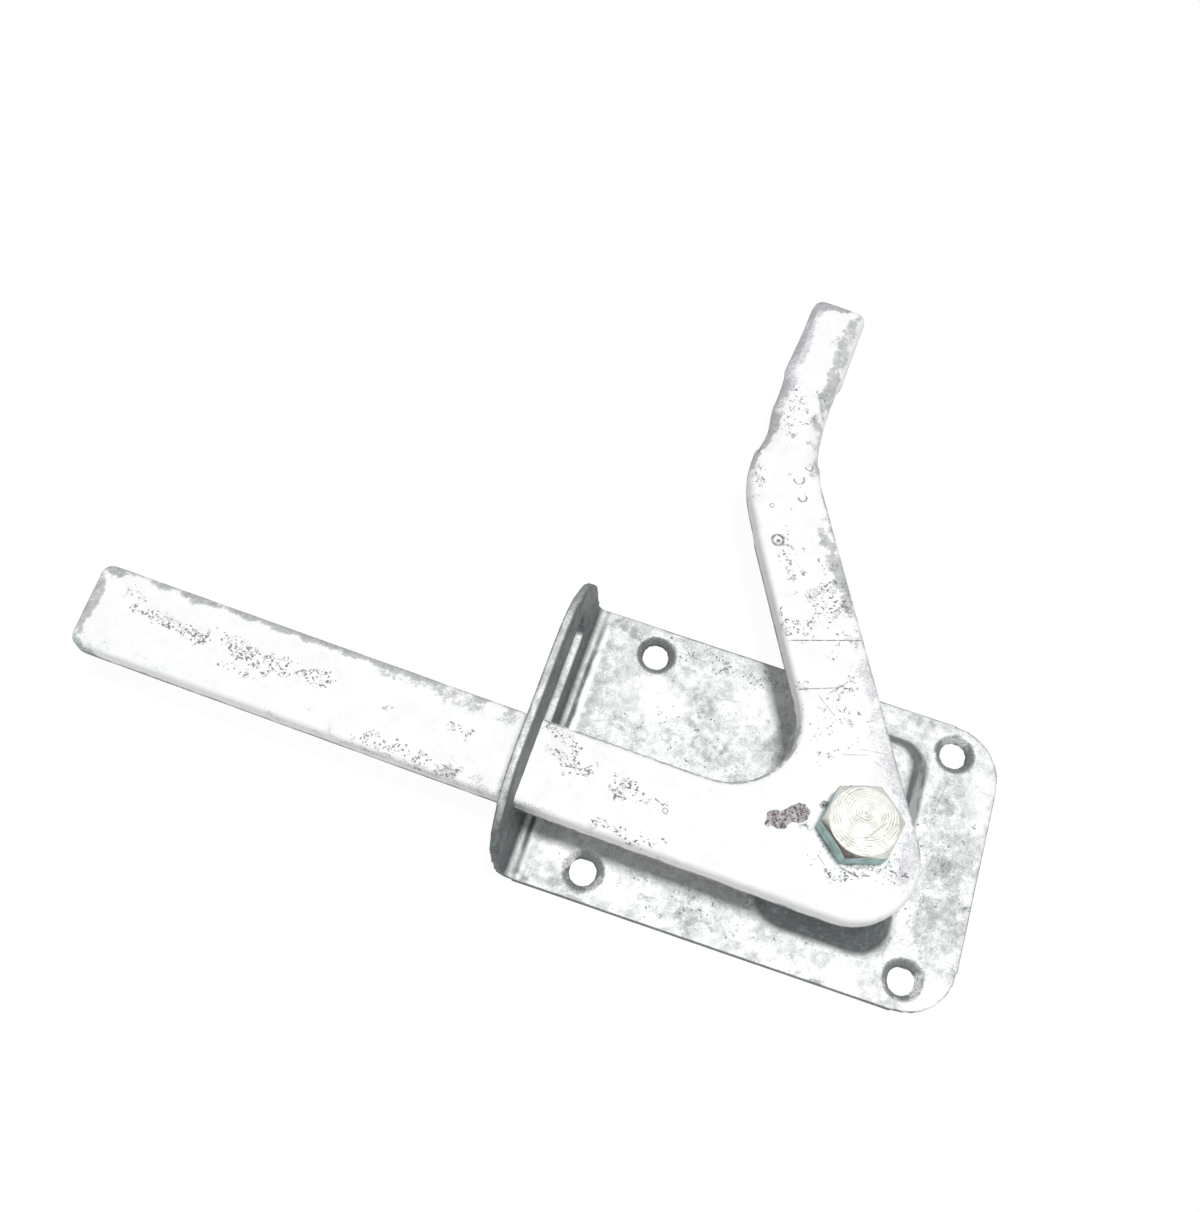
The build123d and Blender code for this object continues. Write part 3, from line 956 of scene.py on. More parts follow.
@dataclass
class Skin:
    """A CAD node's shape remade as one fine mesh with the coating's own form.

    Attributes:
        node: The CAD node it stands for.
        name: The new piece's name.
        body: The body it rides on.
        slot: The material slot; not used.
        finish: Its coating.
        cell_mm: Size of the mesh's faces.
        wave_mm: Depth of the long waves.
        grain_mm: Depth of the short waves.
        dark_below_mm: The painted shade on steep walls is dark below this level and paler above it.
        pale_share: How dark that painted shade is above that level.
        far_edge: How strong the painted grey reflection is on the rounded edges of the lever's and
            plate's far side.
        steep_from: Slope, as the normal's Z, at which the painted shade on walls starts.
        patches: The marks on it.
        eased: Lowest and highest Y, in millimetres, between which its form is eased.
        ease_rounds: How often that length is smoothed.
    """

    node: str
    name: str
    body: Body
    slot: Slot
    finish: ZincSkin
    cell_mm: float
    wave_mm: float
    grain_mm: float
    dark_below_mm: float
    pale_share: float
    far_edge: float
    steep_from: float
    patches: list[Patch]
    eased: tuple[float, float] | None = None
    ease_rounds: int = 200

    def ease(self, obj: bpy.types.Object) -> None:
        """Flow the form over the joint between two drawn lengths.

        Args:
            obj: The skin.
        """
        low, high = self.eased
        work = bmesh.new()
        work.from_mesh(obj.data)
        chosen = [v for v in work.verts if low < v.co.y / MM < high]
        for _ in range(self.ease_rounds):
            bmesh.ops.smooth_vert(work, verts=chosen, factor=0.5, use_axis_x=True,
                                  use_axis_y=True, use_axis_z=True)
        work.to_mesh(obj.data)
        work.free()

    def build(self, shape: Callable[[np.ndarray, np.ndarray], np.ndarray]) -> bpy.types.Object:
        """Make the skin.

        Args:
            shape: Gives a shift along the normal, in metres, for places and normals.

        Returns:
            The finished piece.
        """
        obj = joined_copy(self.node, self.name)
        low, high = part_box(self.node)
        material = self.finish.build()
        remesh = obj.modifiers.new("fine", "REMESH")
        remesh.mode = "VOXEL"
        remesh.voxel_size = self.cell_mm * MM
        remesh.use_smooth_shade = True
        settle = obj.modifiers.new("settle", "SMOOTH")
        settle.factor = 0.5
        settle.iterations = 3
        run = obj.modifiers.new("run", "NODES")
        run.node_group = uneven_tree()
        set_sockets(run, {"Wave Depth": self.wave_mm * MM, "Grain Depth": self.grain_mm * MM,
                          "Material": material})
        obj = as_plain_mesh(obj)
        if self.eased:
            self.ease(obj)
        self.mark_and_shape(obj, shape, low, high)
        give_material(obj, material)
        for face in obj.data.polygons:
            face.use_smooth = True
        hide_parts(self.node)
        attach(obj, self.body.value)
        return obj

    def walls(self, places: np.ndarray, normals: np.ndarray, rough: np.ndarray) -> np.ndarray:
        """Find the steep walls, whose painted shade is paler above a level and on the underside.

        Args:
            places: Vertex places in metres.
            normals: Vertex normals.
            rough: A noise value from -1 to 1 for each vertex.

        Returns:
            How much painted shade each vertex takes on the walls, 0 to 1.
        """
        fade_slope, fade_mm, under_share = 0.40, 1.2, 0.35
        tilt = normals[:, 2]
        steep = np.clip((self.steep_from - tilt) / fade_slope, 0.0, 1.0)
        above = np.clip((places[:, 2] / MM - self.dark_below_mm - rough) / fade_mm, 0.0, 1.0)
        steep *= 1.0 - (1.0 - self.pale_share) * above
        steep[tilt < UNDERSIDE] *= under_share
        return steep

    def far_edges(self, normals: np.ndarray, rough: np.ndarray) -> np.ndarray:
        """Find the rounded edges on the far side, which take a painted grey reflection, broken up
        by noise.

        Args:
            normals: Vertex normals.
            rough: A noise value from -1 to 1 for each vertex.

        Returns:
            How strong the painted grey reflection is at each vertex, 0 or more.
        """
        edge_tilt, edge_fade, side_from, side_fade = 0.975, 0.12, -0.05, 0.2
        patchy_share, most = 0.8, 1.3
        tilt = normals[:, 2]
        faces_far = normals[:, 0] * FAR_WAY[0] + normals[:, 1] * FAR_WAY[1]
        edge = np.clip((edge_tilt - tilt) / edge_fade, 0.0, 1.0)
        side = np.clip((faces_far - side_from) / side_fade, 0.0, 1.0)
        patchy = np.clip(1.0 + patchy_share * rough, 0.0, most)
        return edge * side * self.far_edge * patchy * (tilt > UNDERSIDE)

    def mark_and_shape(self, obj: bpy.types.Object,
                       shape: Callable[[np.ndarray, np.ndarray], np.ndarray],
                       low: Vector, high: Vector) -> None:
        """Raise the coating's lumps and write the marks on each vertex.

        Args:
            obj: The skin.
            shape: Gives a shift along the normal for places and normals.
            low: The CAD node's lowest corner.
            high: The CAD node's highest corner.
        """
        mesh = obj.data
        count = len(mesh.vertices)
        places = np.empty(count * 3)
        mesh.vertices.foreach_get("co", places)
        places = places.reshape(-1, 3)
        normals = np.empty(count * 3)
        mesh.vertices.foreach_get("normal", normals)
        normals = normals.reshape(-1, 3)
        rough = octaves(places, 5.0, 3, 3.7)
        values = {mark: np.zeros(count) for mark in Mark}
        for patch in self.patches:
            values[patch.mark] = np.maximum(values[patch.mark], patch.cover(places, rough))
        # Steep walls take painted shade and far rounded edges a painted grey reflection
        for mark, found in ((Mark.WALL_SHADE, self.walls(places, normals, rough)),
                            (Mark.GREY, self.far_edges(normals, rough))):
            values[mark] = np.maximum(values[mark], found)
        lift = shape(places, normals)
        crust_mm, sunk_share = 0.35, 0.25
        crust = octaves(places, 1.6, 3, 9.1) - sunk_share
        lift += values[Mark.DROSS] * crust * crust_mm * MM
        places = np.clip(places + normals * lift[:, None], np.array(low), np.array(high))
        mesh.vertices.foreach_set("co", places.ravel())
        for mark, value in values.items():
            layer = mesh.attributes.new(mark.value, "FLOAT", "POINT")
            layer.data.foreach_set("value", np.clip(value, 0.0, 1.0).astype(np.float32))
        mesh.update()


@dataclass
class LatchLever:
    """The forged L lever with its thick zinc coat.

    Attributes:
        cell_mm: Size of the skin's faces.
        ring_x_mm: Place of the ring-shaped pimple on the handle.
        ring_y_mm: Place of the ring-shaped pimple on the handle.
        ring_r_mm: Radius of that ring.
        ring_lift_mm: Height of that ring.
        ring_wide_mm: Half width of that ring's ridge.
        crank_mm: Lowest and highest Y of the crank, where the form is eased.
        swells_mm: Level, reach and height of each swelling on the grip's left side.
    """

    cell_mm: float = 0.55
    ring_x_mm: float = -22.5
    ring_y_mm: float = 69.3
    ring_r_mm: float = 1.25
    ring_lift_mm: float = 0.30
    ring_wide_mm: float = 0.45
    crank_mm: tuple[float, float] = (97.0, 128.0)
    swells_mm: tuple[tuple[float, float, float], ...] = ((111.5, 5.0, 0.9), (124.0, 15.0, 1.0))

    def patches(self) -> list[Patch]:
        """List the marks on the lever, in millimetres.

        Returns:
            The patches.
        """
        top = 24.0
        return [
            *patch_group(Mark.PITS, top, NO_LIMIT,
                (-168, -12.2, 17, 3.4, -5, 1.0, 0.45), (-146, -13.0, 17, 4.8, -8, 1.0, 0.5),
                (-183, -7.0, 5, 4.0, 0, 0.7, 0.8), (-128, -13.5, 12, 3.6, -4, 0.9, 0.6),
                (-147, -18.0, 7, 2.0, 0, 0.8, 0.8), (-106, -14.0, 3, 2.0, 0, 0.8, 0.6),
                (-86, -14.0, 8, 2.6, -6, 0.8, 0.6), (-60, -7.0, 8, 2.6, -20, 0.95, 0.6),
                (-58, -13.0, 8, 3.6, -10, 0.95, 0.6), (-42, -15.0, 7, 4.2, -5, 1.0, 0.6),
                (-32, -16.0, 8, 2.4, -12, 0.9, 0.6), (-34, 88.0, 3.6, 18.0, 6, 0.72, 0.8),
                (-21, 90.0, 5.5, 14.0, 10, 0.30, 0.8), (-28, 112, 7.0, 16.0, -10, 0.75, 0.8),
                (-17, 128, 2.0, 14.0, -8, 0.9, 0.6), (-18, 66.0, 5, 12.0, 25, 0.75, 0.8),
                (-3, 56.0, 9, 14.0, 28, 0.9, 0.7), (-12, 45.0, 8, 9.0, 20, 0.85, 0.7),
                (7, 34.0, 5, 10.0, 25, 0.8, 0.8), (2, 22.0, 16, 14.0, 0, 0.6, 0.9),
                (20, -12.0, 16, 10.0, 0, 0.7, 0.9), (18.0, -18.8, 6, 2.0, -14, 1.0, 0.5),
                (31.5, -14.0, 5, 5.0, 0, 0.8, 0.7)),
            *patch_group(Mark.PITS, 22, NO_LIMIT, (-98, -24.5, 26, 3.4, -2, 0.9, 0.7)),
            *patch_group(Mark.PITS, 21, NO_LIMIT, (-36, -26.0, 12, 3.0, -3, 0.9, 0.7)),
            *patch_group(Mark.DROSS, top, NO_LIMIT,
                (-1.6, -9.3, 4.4, 2.8, 20, 1.0, 0.6), (3.6, -5.6, 3.6, 2.4, 20, 1.0, 0.6),
                (0.9, -7.6, 3.4, 2.0, 35, 1.0, 0.5), (9.5, -1.5, 1.7, 1.1, 30, 0.9, 0.5)),
            *patch_group(Mark.GREY, 16, NO_LIMIT,
                (-190, -2.5, 6, 2.2, -10, 1.0, 0.5), (-190, -25.5, 5, 2.2, -10, 0.9, 0.5),
                # This patch paints grey shade on the right rounded edge at the crank
                (-18.0, 98.0, 2.6, 18, 8, 0.6, 0.7)),
            *patch_group(Mark.GREY, 21, NO_LIMIT,
                # The first patch paints a grey reflection along the bar's far rounded edge
                (-128, -3.0, 74, 2.4, -1, 0.85, 0.5), (-192, -14.0, 2.4, 13, 3, 0.8, 0.6),
                (-110, -27.5, 80, 1.4, 0, 0.5, 0.8)),
            *patch_group(Mark.GREY, top, NO_LIMIT,
                (-95, -5.0, 26, 3.0, -2, 0.6, 0.8), (-80, -25.0, 8, 3.0, 0, 0.5, 0.9)),
            *patch_group(Mark.GREY, 20, NO_LIMIT, (-3.6, 65.5, 3.4, 24, 29.5, 0.8, 0.6)),
            # The next two patches paint grey shade on the grip's right rounded edge and its end
            *patch_group(Mark.GREY, 12, NO_LIMIT, (-20.8, 132.0, 3.0, 32, -2, 0.75, 0.5)),
            *patch_group(Mark.GREY, 8, NO_LIMIT, (-28, 154.4, 12, 3.4, 0, 1.0, 0.35)),
            *patch_group(Mark.LILAC, 20, NO_LIMIT,
                (12.4, 36.0, 3.0, 18, 29.5, 0.7, 0.5), (25.5, 12.0, 3.0, 16, 29.5, 0.7, 0.5),
                (30.0, -4.0, 7.0, 22, 14, 0.42, 0.25), (21.0, 20.0, 6.0, 18, 29.5, 0.4, 0.25)),
            *patch_group(Mark.LILAC, 18, NO_LIMIT, (34.0, -8.0, 4.0, 14, 4, 0.75, 0.3)),
            # The next lilac patches paint shade on the grip's left rounded edge
            *patch_group(Mark.LILAC, 12, NO_LIMIT,
                (-33.6, 132.0, 4.0, 34, -2, 0.8, 0.4), (-37.2, 112.0, 3.6, 12, 0, 0.7, 0.5)),
            *patch_group(Mark.LILAC, 16, NO_LIMIT, (-38.5, 98.0, 3.6, 24, 4, 0.75, 0.5)),
            *patch_group(Mark.CYAN, 16, NO_LIMIT,
                (-188, -24.0, 8, 2.4, 0, 0.45, 0.8), (-172, -24.0, 8, 2.0, 0, 0.45, 0.9)),
            *patch_group(Mark.CYAN, top, NO_LIMIT,
                (-104, -5.0, 12, 3.0, -4, 0.25, 0.9), (-84, -7.0, 8, 4.0, -4, 0.32, 0.9)),
        ]

    def lumps(self, places: np.ndarray, normals: np.ndarray) -> np.ndarray:
        """Raise the ring-shaped pimple and swell the grip's left side.

        Args:
            places: Vertex places in metres.
            normals: Vertex normals.

        Returns:
            The shift along the normal, in metres.
        """
        away = np.hypot(places[:, 0] / MM - self.ring_x_mm, places[:, 1] / MM - self.ring_y_mm)
        top_tilt = 0.8
        on_top = normals[:, 2] > top_tilt
        ring = np.exp(-((away - self.ring_r_mm) / self.ring_wide_mm) ** 2) * on_top
        along = places[:, 1] / MM
        swell = sum(lift * np.exp(-((along - level) / reach) ** 2)
                    for level, reach, lift in self.swells_mm)
        outwards = np.clip(-normals[:, 0], 0.0, 1.0)
        return (ring * self.ring_lift_mm + swell * outwards) * MM

    def build(self) -> bpy.types.Object:
        """Make the lever's skin.

        Returns:
            The piece.
        """
        # The lever's walls take painted shade below 18.6 mm and almost none above it
        skin = Skin("latch_lever", "galvanised_lever", Body.LEVER, Slot.FORGING, LEVER_ZINC,
                    self.cell_mm, wave_mm=0.20, grain_mm=0.07, dark_below_mm=18.6,
                    pale_share=0.02, far_edge=0.85, steep_from=0.80, patches=self.patches(),
                    eased=self.crank_mm)
        return skin.build(self.lumps)


@dataclass
class BasePlate:
    """The pressed plate with its slotted guide flange and drafted boss.

    Attributes:
        cell_mm: Size of the skin's faces.
        holes_mm: The countersunk holes' centres.
        rim_y_mm: Past this the plate's long edges wander.
        rim_x_mm: Past this its rounded end wanders.
    """

    cell_mm: float = 0.6
    holes_mm: tuple[tuple[float, float], ...] = ((-45, -33.5), (-45, 33.5), (45, -33.5), (45, 33.5))
    rim_y_mm: float = 41.0
    rim_x_mm: float = 57.5

    def patches(self) -> list[Patch]:
        """List the marks on the plate, in millimetres.

        Returns:
            The patches.
        """
        low, flat, boss, cone = 0, 4, 15, 2.42
        return [
            # Painted shade in the countersinks and holes
            *patch_group(Mark.GREY, 0.3, cone,
                         *((x, y, 14, 14, 0, 1.0, 0.0) for x, y in self.holes_mm)),
            *patch_group(Mark.GREY, low, flat,
                (-27, 23, 4, 4, 20, 0.8, 0.7), (-35, 12, 6, 4, 10, 0.7, 0.8),
                (-22, 14, 7, 4, 0, 0.5, 0.8), (-57, 15, 7, 26, 0, 0.5, 0.7),
                (-34, 32, 5, 2, 0, 0.7, 0.7), (-56, 38, 6, 3, 0, 0.8, 0.8),
                (47.5, 16, 4, 4, 0, 0.9, 0.7), (47.5, -1, 4, 6, 10, 0.9, 0.7),
                (52, -14, 5, 6, 10, 0.7, 0.8), (44, -22, 3, 3, 10, 0.8, 0.7),
                (46, 25, 9, 3, 10, 0.5, 0.8), (-14, -37, 5, 6, 20, 0.7, 0.8),
                (12, -37, 10, 2.5, 0, 0.6, 0.8), (-52, -39, 10, 2.5, 0, 0.7, 0.8),
                # (38, 0) paints shade on the foot of the boss's right side
                (38, 0, 2.5, 26, 0, 0.6, 0.5), (-5, 42.0, 70, 0.7, 0, 1.0, 0.2),
                (47, 2, 14, 32, 0, 0.6, 0.7), (-38, 0, 26, 42, 0, 0.25, 0.6),
                # Painted shadow of the handle on the plate
                (-6, 24, 4.5, 16, 12, 0.6, 0.4)),
            *patch_group(Mark.GREY, 16.5, NO_LIMIT, (-68, 0, 4, 45, 0, 0.6, 0.5)),
            # Painted highlight on the slot's upward lower lip
            *patch_group(Mark.BRIGHT, 14.2, 15.8, (-67.0, 12, 3.6, 17, 0, 1.0, 0.3)),
            # Painted shade in the concave fold under the flange
            *patch_group(Mark.WALL_SHADE, 2, 8, (-62.2, 0, 1.3, 60, 0, 1.0, 0.1)),
            # Painted shadow on the plate beside the fold
            *patch_group(Mark.GREY, 2, flat, (-58.0, 8, 2.8, 44, 0, 0.7, 0.4)),
            # Painted highlight on the boss's right side
            *patch_group(Mark.BRIGHT, 3, boss, (36.2, 8, 3.6, 24, 0, 0.55, 0.4)),
            *patch_group(Mark.BRIGHT, low, flat,
                (-52, -31, 6, 6, 0, 0.9, 0.7), (-35, -36, 10, 5, 0, 0.8, 0.8),
                (20, -38, 20, 3, 0, 0.8, 0.8), (50, -36, 8, 5, 0, 0.9, 0.7),
                (40, -14, 4, 10, 10, 0.8, 0.7), (54, 25, 5, 14, 0, 0.7, 0.8),
                (36, 38, 14, 3, 0, 0.7, 0.8), (-38, 22, 14, 10, 10, 0.6, 0.9),
                (-12, 28, 12, 8, 10, 0.7, 0.9)),
            # Painted highlight along the boss's right foot
            *patch_group(Mark.BRIGHT, 1, 6, (39.5, 14, 0.9, 26, 0, 1.0, 0.6)),
            # Painted highlight along the fold
            *patch_group(Mark.BRIGHT, 2, flat, (-60.8, 0, 1.1, 60, 0, 1.0, 0.3)),
            *patch_group(Mark.CYAN, 28, NO_LIMIT, (-68, 36, 3, 4, 0, 0.5, 0.7)),
            *patch_group(Mark.PITS, low, flat,
                (-25, 37, 36, 4, 0, 0.7, 0.8), (-28, 15, 26, 14, 0, 0.45, 0.9),
                (-20, -34, 40, 6, 0, 0.55, 0.9), (46, 0, 12, 36, 0, 0.5, 0.9)),
        ]

    def lumps(self, places: np.ndarray, normals: np.ndarray) -> np.ndarray:
        """Let the plate's free edges wander slightly inwards.

        Args:
            places: Vertex places in metres.
            normals: Vertex normals.

        Returns:
            The shift along the normal, in metres.
        """
        wander_mm, inwards_mm, wall_tilt = 0.22, 0.18, 0.6
        wander = octaves(places, 14.0, 2, 21.3) * wander_mm - inwards_mm
        rim = (np.abs(places[:, 1]) > self.rim_y_mm * MM) | (places[:, 0] > self.rim_x_mm * MM)
        return wander * MM * rim * (np.abs(normals[:, 2]) < wall_tilt)

    def build(self) -> bpy.types.Object:
        """Make the plate's skin.

        Returns:
            The piece.
        """
        # A steep_from of 0.95 also lays painted shade on the countersink cones
        skin = Skin("base_plate", "galvanised_plate", Body.BASE, Slot.SHEET, PLATE_ZINC,
                    self.cell_mm, wave_mm=0.22, grain_mm=0.06, dark_below_mm=NO_LIMIT,
                    pale_share=1.0, far_edge=0.9, steep_from=0.95, patches=self.patches())
        return skin.build(self.lumps)


def sweep_tree() -> bpy.types.NodeTree:
    """Build the tree that sweeps a wire profile along a path.

    Returns:
        A tree with the profile's radius and number of sides as inputs.
    """
    t = GeometryTree("swept_profile", {
        "Radius": ("NodeSocketFloat", 0.001),
        "Sides": ("NodeSocketInt", 12),
        "Material": ("NodeSocketMaterial", None),
    })
    circle = t.add("GeometryNodeCurvePrimitiveCircle", mode="RADIUS")
    t.link(t.given["Radius"], circle.inputs["Radius"])
    t.link(t.given["Sides"], circle.inputs["Resolution"])
    swept = t.add("GeometryNodeCurveToMesh")
    t.link(t.given["Geometry"], swept.inputs["Curve"])
    t.link(circle.outputs["Curve"], swept.inputs["Profile Curve"])
    swept.inputs["Fill Caps"].default_value = True
    smooth = t.add("GeometryNodeSetShadeSmooth")
    t.link(swept.outputs[0], smooth.inputs["Geometry"])
    t.close(smooth.outputs[0])
    return t.tree


def path_object(name: str, points: list[Vector]) -> bpy.types.Object:
    """Make a curve object that runs through points.

    Args:
        name: The object's name.
        points: The path in metres.

    Returns:
        The curve object.
    """
    curve = bpy.data.curves.new(name, "CURVE")
    curve.dimensions = "3D"
    spline = curve.splines.new("POLY")
    spline.points.add(len(points) - 1)
    for point, place in zip(spline.points, points):
        point.co = (*place, 1.0)
    return link_object(name, curve)


def sweep_path(name: str, points: list[Vector], radius: float, sides: int,
               material: bpy.types.Material) -> bpy.types.Object:
    """Sweep a round or few-sided profile along a path.

    Args:
        name: The piece's name.
        points: The path in metres.
        radius: The profile's radius in metres.
        sides: The profile's number of sides.
        material: Its material.

    Returns:
        The plain mesh object.
    """
    obj = path_object(name, points)
    sweep = obj.modifiers.new("sweep", "NODES")
    sweep.node_group = sweep_tree()
    set_sockets(sweep, {"Radius": radius, "Sides": sides, "Material": material})
    obj = as_plain_mesh(obj)
    give_material(obj, material)
    return obj


@dataclass
class TorsionSpring:
    """The hidden return spring: a coil, a fixed leg and a leg bent up into the lever.

    Attributes:
        wire_d: Wire diameter.
        coil_r: Radius of the wire's middle line.
        turns: Full turns between the legs' directions.
        low_z: Height of the first turn's middle line.
        rise: Height gained over the coil.
        fixed_deg: Where the fixed leg leaves the coil.
        fixed_length: Length of the fixed leg.
        leg_r: Radius at which the moving leg stands up.
        leg_deg: Direction of the moving leg.
        bend_r: Radius of the moving leg's bend.
        tip_z: Top of the moving leg.
        steps_per_turn: Points of the path in one turn.
        bend_steps: Steps of the path in the bend.
        sides: Sides of the wire.
    """

    wire_d: float = 2.0 * MM
    coil_r: float = 8.3 * MM
    turns: int = 2
    low_z: float = 8.86 * MM
    rise: float = 4.08 * MM
    fixed_deg: float = 165.0
    fixed_length: float = 12.5 * MM
    leg_r: float = 18.0 * MM
    leg_deg: float = 105.0
    bend_r: float = 1.6 * MM
    tip_z: float = 20.0 * MM
    steps_per_turn: int = 48
    bend_steps: int = 8
    sides: int = 20

    def path(self) -> list[Vector]:
        """Run the wire's middle line from leg to leg.

        Returns:
            The points in metres.
        """
        leave = self.leg_deg + math.degrees(math.acos(self.coil_r / self.leg_r))
        swept = self.fixed_deg - leave + 360 * self.turns
        steps = self.steps_per_turn * self.turns
        coil = []
        for step in range(steps + 1):
            share = step / steps
            wave = math.sin(math.tau * self.turns * share) / (math.tau * self.turns)
            coil.append(about_pivot(self.coil_r, math.radians(self.fixed_deg - swept * share),
                                    self.low_z + self.rise * (share - wave)))
        start = math.radians(self.fixed_deg)
        away = Vector((math.sin(start), -math.cos(start), 0.0))
        points = [coil[0] - away * self.fixed_length * s for s in (1.0, 0.66, 0.33)] + coil
        end = math.radians(self.fixed_deg - swept)
        along = Vector((math.sin(end), -math.cos(end), 0.0))
        reach = math.sqrt(self.leg_r ** 2 - self.coil_r ** 2)
        corner = coil[-1] + along * reach
        points.append(coil[-1] + along * reach * 0.4)
        middle = corner - along * self.bend_r + Vector((0, 0, self.bend_r))
        for step in range(self.bend_steps + 1):
            angle = math.radians(90 * step / self.bend_steps)
            points.append(middle + along * self.bend_r * math.sin(angle)
                          - Vector((0, 0, self.bend_r * math.cos(angle))))
        points.append(Vector((corner.x, corner.y, self.tip_z)))
        return points

    def build(self) -> bpy.types.Object:
        """Make the spring.

        Returns:
            The piece.
        """
        obj = sweep_path("round_wire_spring", self.path(), self.wire_d / 2, self.sides,
                         SPRING_STEEL.build())
        low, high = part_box("torsion_spring")
        for vertex in obj.data.vertices:
            vertex.co = Vector(max(lo, min(hi, c)) for lo, hi, c in zip(low, high, vertex.co))
        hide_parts("torsion_spring")
        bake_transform(obj)
        return obj


@dataclass
class PivotBolt:
    """The hexagon head bolt with its turned face and its thread.

    Attributes:
        shank_r: Radius of the shank.
        thread_from: Lower end of the thread.
        thread_to: Upper end of the thread.
        pitch: Rise of one turn of the thread.
        ridge: Depth of the thread.
        edge: Rounding of the head's edges.
    """

    shank_r: float = 6.0 * MM
    thread_from: float = 0.2 * MM
    thread_to: float = 8.0 * MM
    pitch: float = 1.75 * MM
    ridge: float = 0.30 * MM
    edge: float = 0.18 * MM

    def head(self, material: bpy.types.Material) -> bpy.types.Object:
        """Make the head and plain shank from the CAD node, with worn edges.

        Args:
            material: The bolt's finish.

        Returns:
            The piece.
        """
        obj = joined_copy("pivot_bolt", "hexagon_bolt", flatten=True)
        worn = obj.modifiers.new("worn", "BEVEL")
        worn.width = self.edge
        worn.segments = 3
        worn.limit_method = "ANGLE"
        worn.angle_limit = math.radians(24)
        worn.harden_normals = False
        obj = as_plain_mesh(obj)
        obj.data.shade_smooth()
        obj.data.set_sharp_from_angle(angle=math.radians(35))
        give_material(obj, material)
        return obj

    def thread(self) -> bpy.types.Object:
        """Make the thread as one ridge wound round the shank's end.

        Returns:
            The piece.
        """
        turns = (self.thread_to - self.thread_from - 2 * self.ridge) / self.pitch
        steps_per_turn = 40
        steps = int(turns * steps_per_turn)
        points = []
        for step in range(steps + 1):
            angle = math.tau * turns * step / steps
            level = self.thread_from + self.ridge * 1.2 + self.pitch * angle / math.tau
            points.append(about_pivot(self.shank_r - self.ridge, angle, level))
        return sweep_path("bolt_thread_ridge", points, self.ridge, 4, SCREW_STEEL.build())

    def build(self) -> list[bpy.types.Object]:
        """Make the bolt and its thread.

        Returns:
            The two pieces.
        """
        head = self.head(BOLT_ZINC.build())
        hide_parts("pivot_bolt")
        thread = self.thread()
        for obj in (head, thread):
            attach(obj, Body.BASE.value)
        return [head, thread]


def bead_tree() -> bpy.types.NodeTree:
    """Build the tree that strings uneven beads along a path.

    Returns:
        A tree with the number, size and seed of the beads as inputs.
    """
    t = GeometryTree("zinc_beads", {
        "Count": ("NodeSocketInt", 40),
        "Smallest": ("NodeSocketFloat", 0.0002),
        "Largest": ("NodeSocketFloat", 0.0005),
        "Stray": ("NodeSocketFloat", 0.0002),
        "Seed": ("NodeSocketInt", 3),
        "Material": ("NodeSocketMaterial", None),
    })
    spots = t.add("GeometryNodeResampleCurve", mode="COUNT")
    t.link(t.given["Geometry"], spots.inputs["Curve"])
    t.link(t.given["Count"], spots.inputs["Count"])
    stray = t.add("FunctionNodeRandomValue", data_type="FLOAT_VECTOR")
    stray.inputs["Min"].default_value = (-1, -1, -0.5)
    stray.inputs["Max"].default_value = (1, 1, 0.5)
    t.link(t.given["Seed"], stray.inputs["Seed"])
    scaled = t.add("ShaderNodeVectorMath", operation="SCALE")
    t.link(stray.outputs["Value"], scaled.inputs[0])
    t.link(t.given["Stray"], scaled.inputs["Scale"])
    moved = t.add("GeometryNodeSetPosition")
    t.link(spots.outputs[0], moved.inputs["Geometry"])
    t.link(scaled.outputs[0], moved.inputs["Offset"])
    bead = t.add("GeometryNodeMeshIcoSphere")
    bead.inputs["Radius"].default_value = 1.0
    bead.inputs["Subdivisions"].default_value = 2
    size = t.add("FunctionNodeRandomValue", data_type="FLOAT")
    lowest, highest, drawn = 2, 3, 1
    t.link(t.given["Smallest"], size.inputs[lowest])
    t.link(t.given["Largest"], size.inputs[highest])
    t.link(t.plus(t.given["Seed"], 7.0), size.inputs["Seed"])
    placed = t.add("GeometryNodeInstanceOnPoints")
    t.link(moved.outputs[0], placed.inputs["Points"])
    t.link(bead.outputs["Mesh"], placed.inputs["Instance"])
    t.link(size.outputs[drawn], placed.inputs["Scale"])
    t.close(placed.outputs[0])
    return t.tree


@dataclass
class ZincBeads:
    """Beads of zinc left at the bolt head's foot, where the coat ran and froze.

    Attributes:
        foot_z: Level of the lever's top face under the bolt head.
        foot_r: Radius of the arc of beads about the pivot.
        start_deg: Start of the arc.
        end_deg: End of the arc.
        count: The number of beads.
        smallest: The smallest bead's radius.
        largest: The largest bead's radius.
        stray: How far a bead strays from the arc.
        seed: The random seed.
    """

    foot_z: float = LEVER_TOP_Z
    foot_r: float = 10.3 * MM
    start_deg: float = 205.0
    end_deg: float = 300.0
    count: int = 46
    smallest: float = 0.18 * MM
    largest: float = 0.42 * MM
    stray: float = 0.35 * MM
    seed: int = 5

    def build(self) -> bpy.types.Object:
        """String the beads along their arc.

        Returns:
            The beads, as one piece.
        """
        steps = 24
        sweep = self.end_deg - self.start_deg
        arc = [about_pivot(self.foot_r, math.radians(self.start_deg + sweep * step / steps),
                           self.foot_z) for step in range(steps + 1)]
        material = ZINC_CRUST.build()
        foot = path_object("bolt_foot_beads", arc)
        beads = foot.modifiers.new("beads", "NODES")
        beads.node_group = bead_tree()
        set_sockets(beads, {"Count": self.count, "Smallest": self.smallest,
                            "Largest": self.largest, "Stray": self.stray, "Seed": self.seed,
                            "Material": material})
        foot = as_plain_mesh(foot)
        foot.data.shade_smooth()
        give_material(foot, material)
        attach(foot, Body.BASE.value)
        return foot


